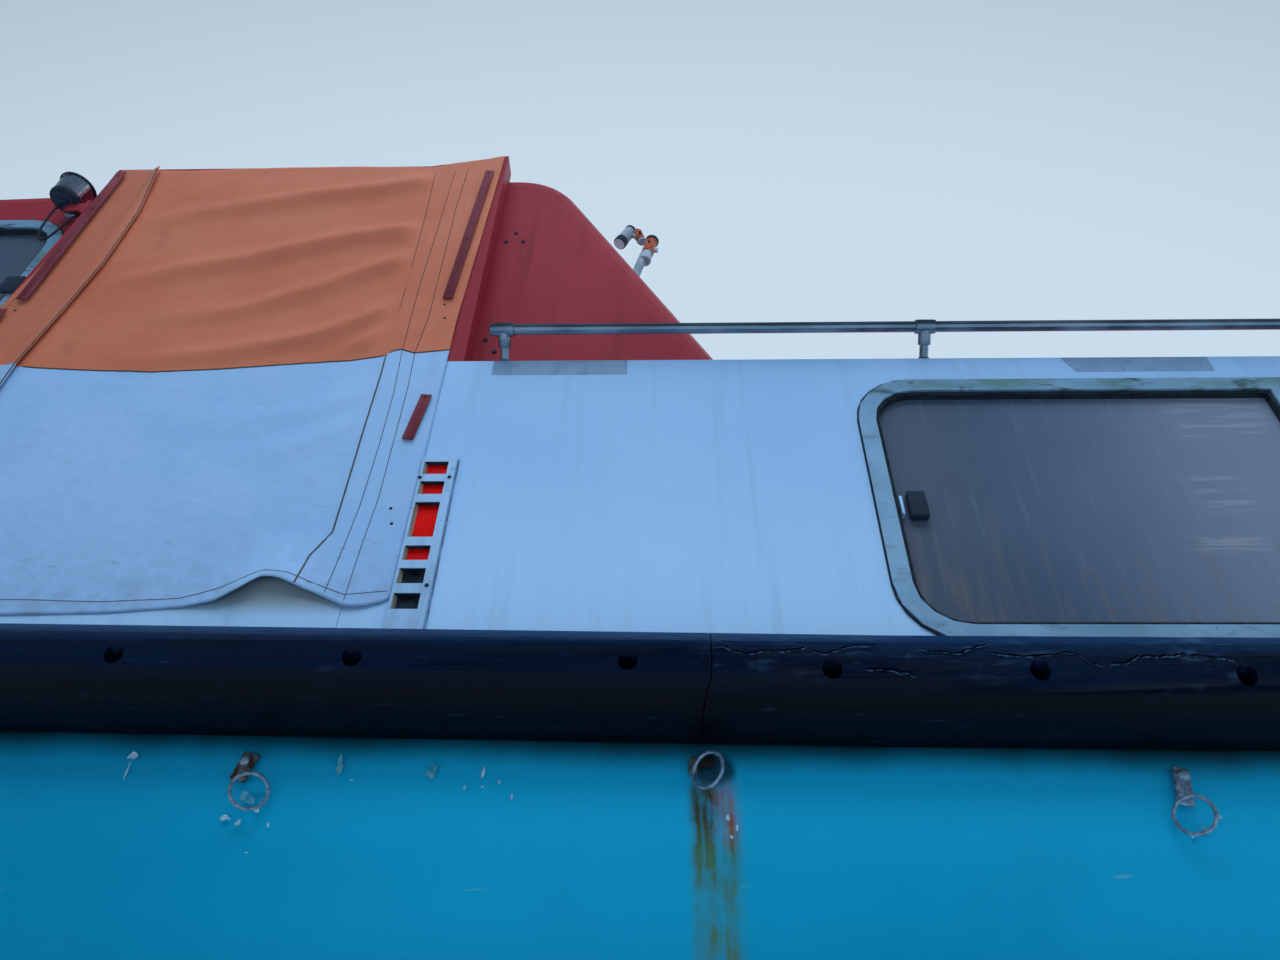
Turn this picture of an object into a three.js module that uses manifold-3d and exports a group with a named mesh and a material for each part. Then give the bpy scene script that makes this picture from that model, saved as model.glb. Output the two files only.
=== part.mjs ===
// A 12.9 m tender lifeboat: a moulded hull with a rubber belt, white cabins fore and aft,
// and a red wheelhouse amidships whose side doors are closed by canvas curtains.
// Millimetres. +X forward, +Y port, +Z up. The origin is on the waterline, amidships.

import * as THREE from 'three';
import { mergeVertices } from 'three/addons/utils/BufferGeometryUtils.js';
import Module from 'manifold-3d';

const wasm = await Module();
wasm.setup();

// Driving dimensions: length, beam and depth are the boat's own figures.
const LENGTH = 12900;
const BEAM = 3600;
const DEPTH = 1700;
const FREEBOARD = 920;
const GAP = 0.3;

// Rubber belt: a D section with a flat back.
const BELT_DEPTH = 130;
const BELT_HEIGHT = 160;
const BELT_DROP = 89;
const BELT_JOINT_X = 590;
// It lies lower on the hull forward of the middle and higher aft of it, most at half of this reach.
const BELT_LEAN = 26;
const BELT_LEAN_REACH = 5000;

// Hull moulding.
const HULL_END = LENGTH / 2 - BELT_DEPTH;
const HULL_BEAM = BEAM / 2 - BELT_DEPTH;
const BOW_START = 2900;
const STERN_START = -4200;
const KEEL_BOTTOM = FREEBOARD - DEPTH;
const BODY_BOTTOM = -620;
const HULL_WALL = 50;
const BOW_RISE_START = 4100;
const BOW_RISE = 160;

// White cabin walls and their roofs.
const WALL = 30;
const WALL_Y = 1660;
const WALL_TOP = 1700;
const WALL_FOOT = FREEBOARD + GAP;
const FLANGE = 100;
const FLANGE_THICK = 25;
const CABIN_SPLIT_X = -40;
const AFT_SPLIT_X = -2900;
const ROOF_FOOT = WALL_TOP + GAP;
const ROOF_INSET = 34;

// Side door, its red surround and its canvas curtain.
const DOOR_AFT = -950;
const DOOR_FORE = -50;
const DOOR_SILL = 1080;
const SURROUND_HEAD = 2500;
const SURROUND_FORE = 82;
const SURROUND_AFT_FOOT = -1112;
const SURROUND_AFT_HEAD = -1066;
const SURROUND_TOP = 2592;
const SURROUND_FORE_TOP = 2648;
const CURTAIN_AFT = -1060;
const CURTAIN_FORE = 45;
const CURTAIN_FOOT = 1005;
const CURTAIN_TOP = 2582;
const CURTAIN_THICK = 6;

// Red wheelhouse canopy.
const CANOPY_Y = 1600;
const CANOPY_FOOT = WALL_TOP + GAP;
const CANOPY_SIDE_TOP = 2663;
const CANOPY_CROWN = 2720;
const CANOPY_EDGE = 80;
const SLOPE_FOOT_X = 736;
const SLOPE_HEAD = [313, 2500];

// Floors.
const HELM_FLOOR = 650;
const SOLE = -250;
const SLAB = 40;
const DECK_THICK = 40;

// Finishes.
const finish = (color, roughness, metalness = 0) => (
  new THREE.MeshStandardMaterial({ color, roughness, metalness }));
const teal = finish('#0b8fb4', 0.45);
const white = finish('#dfe8ee', 0.4);
const red = finish('#a32a2c', 0.5);
const cream = finish('#d8d6c8', 0.6);
const rubber = finish('#14181c', 0.8);
const steel = finish('#b9c0c6', 0.3, 1);
const alloy = finish('#9aa4ab', 0.45, 1);
const bronze = finish('#9c7a3c', 0.35, 1);
const glass = finish('#7d8890', 0.1);
const canvas = finish('#c9662c', 0.85);
const darkPlastic = finish('#202428', 0.6);
const cushion = finish('#2a3038', 0.85);
const greyPaint = finish('#6d7478', 0.55);

const boat = new THREE.Group();
boat.name = 'lifeboat';

function add(name, geometry, material) {
  const mesh = new THREE.Mesh(geometry, material);
  mesh.name = name;
  boat.add(mesh);
  return mesh;
}

// Welds a geometry by position alone and drops faces that have no area.
function weld(geometry) {
  const bare = geometry.clone();
  bare.deleteAttribute('normal');
  bare.deleteAttribute('uv');
  const merged = mergeVertices(bare, 0.001);
  const from = merged.index.array;
  const kept = [];
  for (let i = 0; i < from.length; i += 3) {
    const [a, b, c] = [from[i], from[i + 1], from[i + 2]];
    if (a !== b && b !== c && c !== a) kept.push(a, b, c);
  }
  merged.setIndex(kept);
  return merged;
}

// Six times the signed volume, which is negative where the faces point inwards.
function signedVolume(geometry) {
  const p = geometry.attributes.position;
  const index = geometry.index.array;
  const [a, b, c] = [new THREE.Vector3(), new THREE.Vector3(), new THREE.Vector3()];
  let sum = 0;
  for (let i = 0; i < index.length; i += 3) {
    a.fromBufferAttribute(p, index[i]);
    b.fromBufferAttribute(p, index[i + 1]);
    c.fromBufferAttribute(p, index[i + 2]);
    sum += a.dot(b.cross(c));
  }
  return sum;
}

function outward(geometry) {
  const welded = weld(geometry);
  if (signedVolume(welded) < 0) welded.setIndex(Array.from(welded.index.array).reverse());
  return welded;
}

function solid(geometry) {
  const g = outward(geometry);
  return new wasm.Manifold(new wasm.Mesh({
    numProp: 3,
    vertProperties: new Float32Array(g.attributes.position.array),
    triVerts: new Uint32Array(g.index.array),
  }));
}

function shapeOf(body) {
  const m = body.getMesh();
  const geometry = new THREE.BufferGeometry();
  geometry.setAttribute('position', new THREE.BufferAttribute(new Float32Array(m.vertProperties), 3));
  geometry.setIndex(new THREE.BufferAttribute(new Uint32Array(m.triVerts), 1));
  return geometry;
}

const joined = (...bodies) => bodies.reduce((whole, next) => whole.add(next));
const cut = (body, ...tools) => tools.reduce((left, tool) => left.subtract(tool), body);

function box(x0, x1, y0, y1, z0, z1) {
  const geometry = new THREE.BoxGeometry(x1 - x0, y1 - y0, z1 - z0);
  return geometry.translate((x0 + x1) / 2, (y0 + y1) / 2, (z0 + z1) / 2);
}

const block = (...limits) => solid(box(...limits));

// Skins a stack of rings, each a list of [x, y, z] of the same length, and closes both ends.
function loft(rings) {
  const count = rings[0].length;
  const positions = rings.flat(2);
  const index = [];
  for (let r = 0; r + 1 < rings.length; r += 1) {
    for (let i = 0; i < count; i += 1) {
      const [a, b] = [r * count + i, r * count + ((i + 1) % count)];
      index.push(a, b, b + count, a, b + count, a + count);
    }
  }
  for (const [ring, start, flip] of [[rings[0], 0, true], [rings.at(-1), (rings.length - 1) * count, false]]) {
    const centre = positions.length / 3;
    positions.push(...[0, 1, 2].map((axis) => ring.reduce((sum, point) => sum + point[axis], 0) / count));
    for (let i = 0; i < count; i += 1) {
      const [a, b] = [start + i, start + ((i + 1) % count)];
      index.push(...(flip ? [centre, b, a] : [centre, a, b]));
    }
  }
  const geometry = new THREE.BufferGeometry();
  geometry.setAttribute('position', new THREE.Float32BufferAttribute(positions, 3));
  geometry.setIndex(index);
  return outward(geometry);
}

// Prism of a plan outline, and of a side profile drawn as [x, z].
const planPrism = (outline, z0, z1) => loft([z0, z1].map((z) => outline.map(([x, y]) => [x, y, z])));

function profilePrism(points, y0, y1) {
  const shape = new THREE.Shape(points.map(([x, z]) => new THREE.Vector2(x, z)));
  const geometry = new THREE.ExtrudeGeometry(shape, { depth: y1 - y0, bevelEnabled: false });
  return geometry.rotateX(Math.PI / 2).translate(0, y1, 0);
}

// Rounded rectangle as [x, z] points.
function roundedRect(x0, x1, z0, z1, radius, steps = 4) {
  const corners = [[x1 - radius, z0 + radius, -90], [x1 - radius, z1 - radius, 0],
    [x0 + radius, z1 - radius, 90], [x0 + radius, z0 + radius, 180]];
  return corners.flatMap(([cx, cz, from]) => Array.from({ length: steps + 1 }, (_, i) => {
    const angle = THREE.MathUtils.degToRad(from + (90 * i) / steps);
    return [cx + radius * Math.cos(angle), cz + radius * Math.sin(angle)];
  }));
}

function cylinder(from, to, radius, sides = 16, endRadius = radius) {
  const [a, b] = [new THREE.Vector3(...from), new THREE.Vector3(...to)];
  const geometry = new THREE.CylinderGeometry(endRadius, radius, a.distanceTo(b), sides);
  const turn = new THREE.Quaternion();
  turn.setFromUnitVectors(new THREE.Vector3(0, 1, 0), b.clone().sub(a).normalize());
  return geometry.applyQuaternion(turn).translate(...a.add(b).multiplyScalar(0.5).toArray());
}

const rod = (...args) => solid(cylinder(...args));

const sideName = (side) => (side < 0 ? 'starboard' : 'port');
const mirrorY = (geometry, side) => (side < 0 ? geometry : outward(geometry.clone().scale(1, -1, 1)));

// Hull form. The plan's ends and the section are superellipses: a higher power is a squarer corner.
const STERN_POWER = 3.4;
const BOW_POWER = 2;
const SECTION_POWER = 3.4;
const END_POWER = 2.1;
const STRAIGHT_STATIONS = [-3200, -1200, 900];

// Half the plan at the rim, from the stern's middle to the stem, to starboard.
function rimOutline(inset, extraX = []) {
  const beam = HULL_BEAM - inset;
  const quarter = (start, end, power, steps) => Array.from({ length: steps + 1 }, (_, i) => {
    const angle = (Math.PI / 2) * (i / steps);
    const along = Math.sin(angle) ** (2 / power);
    return [start + (end - start) * along, -beam * Math.max(Math.cos(angle), 0) ** (2 / power)];
  });
  const stern = quarter(STERN_START, -HULL_END + inset, STERN_POWER, 9).reverse();
  const bow = quarter(BOW_START, HULL_END - inset, BOW_POWER, 12);
  stern[0][1] = 0;
  bow.at(-1)[1] = 0;
  const straight = [...STRAIGHT_STATIONS, ...extraX].sort((a, b) => a - b).map((x) => [x, -beam]);
  return [...stern, ...straight, ...bow];
}

const rimHeight = (x) => (
  FREEBOARD + BOW_RISE * (Math.max(0, x - BOW_RISE_START) / (HULL_END - BOW_RISE_START)) ** 2);

// The stem and the stern rake: the keel line is shorter than the rim by these shares of the ends.
const STEM_RAKE = 0.28;
const STERN_RAKE = 0.07;

function keelPoint(x) {
  if (x > BOW_START) return BOW_START + (x - BOW_START) * (1 - STEM_RAKE);
  return x < STERN_START ? STERN_START + (x - STERN_START) * (1 - STERN_RAKE) : x;
}

// The body's bottom rises aft and forward of its flat middle.
const FLAT_HALF = 3200;
const AFT_RISE = { run: 2970, height: 540, power: 1.5 };
const FORE_RISE = { run: 2160, height: 230, power: 2 };

function bodyBottom(x) {
  const aft = Math.max(0, -FLAT_HALF - x) / AFT_RISE.run;
  const fore = Math.max(0, x - FLAT_HALF) / FORE_RISE.run;
  return BODY_BOTTOM + AFT_RISE.height * aft ** AFT_RISE.power + FORE_RISE.height * fore ** FORE_RISE.power;
}

function hullForm(inset, above) {
  const half = rimOutline(inset);
  const outline = [...half, ...half.slice(1, -1).reverse().map(([x, y]) => [x, -y])];
  const rings = above > 0 ? [outline.map(([x, y]) => [x, y, FREEBOARD + above])] : [];
  const levels = 10;
  for (let j = 0; j <= levels; j += 1) {
    rings.push(outline.map(([x, y]) => {
      const reach = x > BOW_START ? (x - BOW_START) / (HULL_END - BOW_START) : 0;
      const aft = x < STERN_START ? (STERN_START - x) / (HULL_END + STERN_START) : 0;
      const power = SECTION_POWER - (SECTION_POWER - END_POWER) * Math.max(reach, aft) ** 2;
      const angle = (Math.PI / 2) * (j / levels);
      const out = j === levels ? 0 : Math.cos(angle) ** (2 / power);
      const down = Math.sin(angle) ** (2 / power);
      const xk = keelPoint(x);
      const zk = bodyBottom(xk) + inset;
      const rim = rimHeight(x);
      return [xk + (x - xk) * out, y * out, rim + (zk - rim) * down];
    }));
  }
  return loftToKeel(rings);
}

// As loft, but the last ring is the keel line, where both sides meet and no end face is needed.
function loftToKeel(rings) {
  const count = rings[0].length;
  const positions = rings.flat(2);
  const index = [];
  for (let r = 0; r + 1 < rings.length; r += 1) {
    for (let i = 0; i < count; i += 1) {
      const [a, b] = [r * count + i, r * count + ((i + 1) % count)];
      index.push(a, b, b + count, a, b + count, a + count);
    }
  }
  // The top is closed by strips from side to side.
  for (let i = 0; i < count / 2; i += 1) {
    const [a, b] = [i, i + 1];
    const [c, d] = [(count - i - 1) % count, (count - i) % count];
    index.push(a, c, b, a, d, c);
  }
  const geometry = new THREE.BufferGeometry();
  geometry.setAttribute('position', new THREE.Float32BufferAttribute(positions, 3));
  geometry.setIndex(index);
  return solid(geometry);
}

// The inner skins run on above the rim, so that what they cut is open at the top.
const ABOVE_RIM = 400;
const outerHull = hullForm(0, 0);
const innerHull = hullForm(HULL_WALL, ABOVE_RIM);
const insideHull = hullForm(HULL_WALL + GAP + 0.1, ABOVE_RIM);

// Keel, skeg and stern tube, and the bearers that carry the engine.
const SHAFT_Z = -500;
const SKEG_AFT = -5050;
const RUDDER_X = -5850;
const KEEL_HALF = 55;
const BEARER_TOP = -431;
const BEARER_Y = 300;
const BEARER_HALF = 30;
const keelProfile = [[SKEG_AFT, KEEL_BOTTOM], [4300, KEEL_BOTTOM], [5000, -560], [4700, -440], [-3200, -500],
  [-4600, -300], [SKEG_AFT, -260]];
const keel = solid(profilePrism(keelProfile, -KEEL_HALF, KEEL_HALF));
const sternTube = rod([-5120, 0, SHAFT_Z], [-4700, 0, SHAFT_Z], 52, 16);
const bearers = [-1, 1].map((side) => block(-2600, -900, side * BEARER_Y - BEARER_HALF,
  side * BEARER_Y + BEARER_HALF, -700, BEARER_TOP));
const shaftBore = rod([-5200, 0, SHAFT_Z], [-4960, 0, SHAFT_Z], 23, 16);
const rudderTrunk = rod([RUDDER_X, 0, -300], [RUDDER_X, 0, 1], 60, 16);
const rudderBore = rod([RUDDER_X, 0, -400], [RUDDER_X, 0, -60], 31, 24);
const hullShell = cut(outerHull, innerHull);
const hull = cut(
  joined(hullShell, cut(keel, innerHull), cut(sternTube, innerHull), rudderTrunk.intersect(outerHull),
    ...bearers.map((bearer) => bearer.intersect(outerHull))),
  shaftBore, rudderBore);
add('hull', shapeOf(hull), teal);

// Rubber belt in four lengths, butted at the stem, the stern and beside the doors.
function beltRing([x, y], normal, z) {
  const nose = BELT_DEPTH - BELT_HEIGHT / 2;
  const r = BELT_HEIGHT / 2;
  const arc = Array.from({ length: 9 }, (_, i) => -Math.PI / 2 + (Math.PI * i) / 8);
  const section = [[GAP, -r], ...arc.map((a) => [nose + r * Math.cos(a), r * Math.sin(a)]), [GAP, r]];
  return section.map(([out, up]) => [x + normal[0] * out, y + normal[1] * out, z + up]);
}

const beltLean = (x) => (
  -BELT_LEAN * Math.sin(Math.PI * THREE.MathUtils.clamp(x / BELT_LEAN_REACH, -1, 1)));

function belt(fromX, toX) {
  const path = rimOutline(0, [BELT_JOINT_X]);
  const rings = [];
  path.forEach(([x, y], i) => {
    if (x < fromX || x > toX) return;
    const before = path[Math.max(i - 1, 0)];
    const after = path[Math.min(i + 1, path.length - 1)];
    const along = new THREE.Vector2(after[0] - before[0], after[1] - before[1]).normalize();
    const end = i === 0 || i === path.length - 1;
    const normal = end ? [Math.sign(x), 0] : [along.y, -along.x];
    const ring = beltRing([x, y], normal, rimHeight(x) - BELT_DROP + beltLean(x));
    // At the stem and the stern each length stops short of the boat's middle.
    rings.push(end ? ring.map(([px, , pz]) => [px, -1, pz]) : ring);
  });
  return rings;
}

const shiftEnd = (rings, at, dx) => rings
  .map((ring, i) => (i === at ? ring.map(([x, y, z]) => [x + dx, y, z]) : ring));
for (const side of [-1, 1]) {
  const aft = belt(-HULL_END, BELT_JOINT_X);
  const fore = belt(BELT_JOINT_X, HULL_END);
  add(`belt_aft_${sideName(side)}`, mirrorY(loft(shiftEnd(aft, aft.length - 1, -1)), side), rubber);
  add(`belt_fore_${sideName(side)}`, mirrorY(loft(shiftEnd(fore, 0, 1)), side), rubber);
}

// Plan outlines of the cabins, closed loops that run forward along starboard.
// Each corner of the facets at the fore end: x, y, and how much of an inset moves it aft and inboard.
const FACET_X = 2900;
const FACET_CORNERS = [[FACET_X, WALL_Y, 0, 1], [4000, 1440, 0.35, 1], [4560, 960, 0.75, 0.9],
  [4760, 420, 1, 0.55]];
const FACET_RUN = 1900;
const foreFacets = (inset, rake) => FACET_CORNERS.map(([x, y, aft, inboard]) => {
  const shrink = 1 - (rake * (x - FACET_X)) / FACET_RUN;
  return [x * shrink - inset * aft, y - inset * inboard];
});

function foreOutline(x0, inset, rake) {
  const half = [[x0, WALL_Y - inset], [SLOPE_FOOT_X, WALL_Y - inset], ...foreFacets(inset, rake)];
  return [...half.map(([x, y]) => [x, -y]), ...half.reverse()];
}

const AFT_FACE_X = -5200;
const AFT_CORNER = 320;

function aftOutline(x0, inset) {
  const radius = AFT_CORNER - inset;
  const corner = Array.from({ length: 5 }, (_, i) => {
    const angle = (Math.PI / 2) * (i / 4);
    return [AFT_FACE_X + AFT_CORNER - radius * Math.sin(angle), WALL_Y - AFT_CORNER + radius * Math.cos(angle)];
  });
  const half = [[x0, WALL_Y - inset], ...corner];
  return [...half.map(([x, y]) => [x, -y]).reverse(), ...half];
}

// Windows: flat frames with a rounded opening, and a pane in a rebate behind. FRAME is the face's width, and
// the neck behind the face passes through the wall's hole with a millimetre to spare.
const FRAME = 36;
const FRAME_PROUD = 6;
const WINDOW_RADIUS = 127;
const NECK = 14;
const WALL_HOLE = NECK - 1;
const REBATE = 30;
const PANE_FROM = 15;
const PANE_TO = 21;
const MULLION_HALF = 19;
const MULLION_BACK = 12;
const MULLION_SUNK = 20;
const FACET_TURN = THREE.MathUtils.radToDeg(Math.atan2(220, 1100));

const windowPrism = (w, inset, from, to) => profilePrism(
  roundedRect(w.x0 + inset, w.x1 - inset, w.z0 + inset, w.z1 - inset, WINDOW_RADIUS - inset), from, to);

function windowFrame(w) {
  const face = solid(windowPrism(w, 0, -FRAME_PROUD - GAP, -GAP));
  const throat = solid(windowPrism(w, NECK, -GAP - 1, WALL));
  let frame = cut(joined(face, throat), solid(windowPrism(w, FRAME, -50, WALL + 50)));
  if (w.mullion) {
    const mid = (w.x0 + w.x1) / 2;
    frame = joined(frame, block(mid - MULLION_HALF, mid + MULLION_HALF, -FRAME_PROUD, MULLION_BACK,
      w.z0 + MULLION_SUNK, w.z1 - MULLION_SUNK));
  }
  return cut(frame, solid(windowPrism(w, REBATE, PANE_FROM - GAP, PANE_TO + GAP)));
}

const windowPane = (w) => windowPrism(w, REBATE + GAP, PANE_FROM, PANE_TO);
const windowHole = (w) => windowPrism(w, WALL_HOLE, -60, WALL + 160);

// Puts a window drawn on the plane y = 0, outside towards -y, into its wall.
function place(geometry, w, side) {
  const put = geometry.clone();
  put.rotateZ(THREE.MathUtils.degToRad(w.turn ?? 0));
  put.translate(...w.at);
  return mirrorY(put, side);
}

// x0 to x1 runs along the wall and z0 to z1 up it; at is the plane's origin on the outer face, and turn
// is in degrees.
const windows = {
  fore_window: { x0: 951, x1: 2777, z0: 936, z1: 1621, mullion: true, at: [0, -WALL_Y, 0] },
  quarter_window: {
    x0: 110, x1: 1010, z0: 1015, z1: 1600, mullion: false, at: [FACET_X, -WALL_Y, 0], turn: FACET_TURN,
  },
  aft_window: { x0: -4740, x1: -3100, z0: 936, z1: 1621, mullion: true, at: [0, -WALL_Y, 0] },
  helm_window: { x0: -2720, x1: -1140, z0: 1790, z1: 2410, mullion: true, at: [0, -CANOPY_Y, 0] },
};

function withWindows(body, names) {
  let left = body;
  for (const name of names) {
    for (const side of [-1, 1]) left = cut(left, solid(place(windowHole(windows[name]), windows[name], side)));
  }
  return left;
}

for (const [name, w] of Object.entries(windows)) {
  for (const side of [-1, 1]) {
    add(`${name}_frame_${sideName(side)}`, place(shapeOf(windowFrame(w)), w, side), alloy);
    add(`${name}_pane_${sideName(side)}`, place(windowPane(w), w, side), glass);
  }
}

// Fore cabin: walls with a flange on top, open to the wheelhouse, raked at the front.
const RAKE = 0.035;
const foreWalls = solid(loft([[WALL_FOOT, 0], [WALL_TOP, RAKE]]
  .map(([z, rake]) => foreOutline(CABIN_SPLIT_X, 0, rake).map(([x, y]) => [x, y, z]))));
const foreInside = solid(loft([[WALL_FOOT - 60, 0], [WALL_TOP - FLANGE_THICK, RAKE]]
  .map(([z, rake]) => foreOutline(CABIN_SPLIT_X - 60, WALL, rake).map(([x, y]) => [x, y, z]))));
const foreTopHole = solid(planPrism(foreOutline(SLOPE_FOOT_X + 5, FLANGE, RAKE),
  WALL_TOP - 80, WALL_TOP + 40));
const helmTopHole = block(CABIN_SPLIT_X - 60, SLOPE_FOOT_X - 95, -WALL_Y + FLANGE, WALL_Y - FLANGE,
  WALL_TOP - 80, WALL_TOP + 40);
add('fore_cabin', shapeOf(withWindows(cut(foreWalls, foreInside, foreTopHole, helmTopHole),
  ['fore_window', 'quarter_window'])), white);

// Fore roof: a low crowned lid inside the wall's edge, with the raised coaming of the fore hatch.
// Each step is a share of the plan's size, drawn in towards its flat end, and a share of the crown.
const roofSteps = [[1, 0], [0.984, 0.24], [0.86, 0.62], [0.6, 0.92], [0.3, 1]];
const crowned = (outline, flatX, crown) => loft(roofSteps.map(([size, up]) => outline
  .map(([x, y]) => [flatX + (x - flatX) * size, y * size, ROOF_FOOT + up * crown])));
const FORE_CROWN = 100;
const AFT_CROWN = 90;
const HATCH = 600;
const COAMING = 40;
const COAMING_TOP = 1850;
const FORE_HATCH_X = 3350;
const FORE_ROOF_AFT = SLOPE_FOOT_X + 2;
const foreRoofOutline = foreOutline(FORE_ROOF_AFT, ROOF_INSET, RAKE).filter(([x]) => x !== SLOPE_FOOT_X);
function roofWithCoaming(roof, x, y, foot, top) {
  const half = HATCH / 2;
  const outer = block(x - half, x + half, y - half, y + half, foot, top);
  const clear = half - COAMING;
  const hole = block(x - clear, x + clear, y - clear, y + clear, foot - 200, top + 10);
  return cut(joined(roof, outer), hole);
}
const foreRoof = solid(crowned(foreRoofOutline, FORE_ROOF_AFT, FORE_CROWN));
// The lid is hollow below: this much of its length and its breadth, up to a height above the wall.
const HOLLOW = { length: 0.82, breadth: 0.84, height: 37 };
const roofHollow = (outline, flatX, shift) => solid(planPrism(
  outline.map(([x, y]) => [flatX + shift + (x - flatX) * HOLLOW.length, y * HOLLOW.breadth]),
  WALL_TOP - 10, WALL_TOP + HOLLOW.height));
const foreLid = cut(foreRoof, roofHollow(foreRoofOutline, FORE_ROOF_AFT, 60));
add('fore_roof', shapeOf(roofWithCoaming(foreLid, FORE_HATCH_X, 0, WALL_TOP + 30, COAMING_TOP)), red);

// Aft cabin: walls, flange and the opening of the aft door; its roof is a low crowned lid.
const AFT_DOOR_HALF = 310;
const AFT_DOOR_FOOT = 960;
const AFT_DOOR_TOP = 1640;
const aftWalls = solid(planPrism(aftOutline(AFT_SPLIT_X, 0), WALL_FOOT, WALL_TOP));
const aftInside = solid(planPrism(aftOutline(AFT_SPLIT_X + 60, WALL), WALL_FOOT - 60,
  WALL_TOP - FLANGE_THICK));
const aftTopHole = solid(planPrism(aftOutline(AFT_SPLIT_X - FLANGE, FLANGE), WALL_TOP - 80, WALL_TOP + 40));
const aftDoorHole = block(AFT_FACE_X - 60, AFT_FACE_X + 60, -AFT_DOOR_HALF + 20, AFT_DOOR_HALF - 20,
  AFT_DOOR_FOOT + 20, AFT_DOOR_TOP - 20);
const aftShell = cut(aftWalls, aftInside, aftTopHole, aftDoorHole);
add('aft_cabin', shapeOf(withWindows(aftShell, ['aft_window'])), white);
const AFT_ROOF_FORE = AFT_SPLIT_X - 2;
const aftRoofOutline = aftOutline(AFT_ROOF_FORE, ROOF_INSET);
add('aft_roof', shapeOf(cut(solid(crowned(aftRoofOutline, AFT_ROOF_FORE, AFT_CROWN)),
  roofHollow(aftRoofOutline, AFT_ROOF_FORE, -60))), red);

// White sides below the wheelhouse, with the door's opening and the flange that carries the canopy.
for (const side of [-1, 1]) {
  const ends = [AFT_SPLIT_X + 1, CABIN_SPLIT_X - 1];
  const wall = block(...ends, -WALL_Y, -WALL_Y + WALL, WALL_FOOT, WALL_TOP);
  const flange = block(...ends, -WALL_Y, -WALL_Y + FLANGE, WALL_TOP - FLANGE_THICK, WALL_TOP);
  const opening = block(DOOR_AFT, DOOR_FORE, -WALL_Y - 50, -WALL_Y + FLANGE + 50, DOOR_SILL, WALL_TOP + 50);
  add(`side_${sideName(side)}`, mirrorY(shapeOf(cut(joined(wall, flange), opening)), side), white);
}

// Canopy of the wheelhouse: one red moulding, crowned across, with a sloping front and rounded edges.
const SHOULDER = 204;
// The roof line behind the shoulder: x, and the fall below its fore end. The aft end leans in by AFT_LIP.
const ROOF_FALLS = [[-150, 2], [-600, 25]];
const AFT_FALL = 140;
const AFT_LIP = 120;
// The crown across: distance from the middle, and the fall below it.
const CROWN_FALLS = [[400, 4], [900, 22]];
const SLOPE_RUN = SLOPE_FOOT_X - SLOPE_HEAD[0];
const SLOPE_RISE = SLOPE_HEAD[1] - CANOPY_FOOT;
const SLOPE_LEAN = Math.atan2(SLOPE_RUN, SLOPE_RISE);
const slopeAt = (z) => SLOPE_FOOT_X - (SLOPE_RUN * (z - CANOPY_FOOT)) / SLOPE_RISE;

// Side profile where the roof's fore end is `crown` high. The shoulder's arc touches the slope's face, and its
// centre serves both skins: `inset` is a skin's depth, and `round` what the rounded edge adds to it.
function canopyProfile(inset, round, foot, crown) {
  const centreZ = crown - SHOULDER;
  const centreX = slopeAt(centreZ + SHOULDER * Math.sin(SLOPE_LEAN)) - SHOULDER * Math.cos(SLOPE_LEAN);
  const radius = SHOULDER - inset - round;
  const top = centreZ + radius;
  const steps = 8;
  const shoulder = Array.from({ length: steps + 1 }, (_, i) => {
    const angle = SLOPE_LEAN + ((Math.PI / 2 - SLOPE_LEAN) * i) / steps;
    return [centreX + radius * Math.cos(angle), centreZ + radius * Math.sin(angle)];
  });
  return [[AFT_SPLIT_X + 1 + inset, foot], [slopeAt(foot) - (inset + round) / Math.cos(SLOPE_LEAN), foot],
    ...shoulder, ...ROOF_FALLS.map(([x, fall]) => [x, top - fall]),
    [AFT_SPLIT_X + AFT_LIP + inset, top - AFT_FALL]];
}

// The profiles run from the centre out to the side's rounded edge, and the same again on the other side.
function canopyForm(inset, foot) {
  const edge = CANOPY_EDGE - inset;
  const steps = 5;
  const half = CROWN_FALLS.map(([y, fall]) => [y, 0, CANOPY_CROWN - fall]);
  for (let i = 0; i <= steps; i += 1) {
    const angle = (Math.PI / 2) * (i / steps);
    half.push([CANOPY_Y - CANOPY_EDGE + edge * Math.sin(angle), edge * (1 - Math.cos(angle)), CANOPY_SIDE_TOP]);
  }
  const stations = [...half.map(([y, round, crown]) => [-y, round, crown]).reverse(), ...half];
  return solid(loft(stations.map(([y, round, crown]) => canopyProfile(inset, round, foot, crown)
    .map(([x, z]) => [x, y, z]))));
}

const canopyDoor = (side) => block(DOOR_AFT, DOOR_FORE, Math.min(side * 1400, side * 1800),
  Math.max(side * 1400, side * 1800), CANOPY_FOOT - 200, SURROUND_HEAD);
const screen = { x0: -1330, x1: 1330, z0: 130, z1: 800, mullion: true };

// Turns the windscreen, drawn on the plane y = 0, onto the sloping front.
function placeScreen(geometry) {
  const put = geometry.clone();
  put.rotateX(-SLOPE_LEAN).rotateZ(Math.PI / 2);
  return put.translate(SLOPE_FOOT_X, 0, CANOPY_FOOT);
}

const ROOF_HATCH = { x: -1000, y: 640 };
const CANOPY_COAMING_TOP = 2740;
const CANOPY_COAMING_FOOT = 2600;
let canopy = cut(canopyForm(0, CANOPY_FOOT), canopyForm(WALL, CANOPY_FOOT - 100));
canopy = withWindows(canopy, ['helm_window']);
canopy = cut(canopy, canopyDoor(-1), canopyDoor(1), solid(placeScreen(windowHole(screen))));
canopy = roofWithCoaming(canopy, ROOF_HATCH.x, ROOF_HATCH.y, CANOPY_COAMING_FOOT, CANOPY_COAMING_TOP);
add('canopy', shapeOf(canopy), red);
add('windscreen_frame', placeScreen(shapeOf(windowFrame(screen))), alloy);
add('windscreen_pane', placeScreen(windowPane(screen)), glass);

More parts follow.
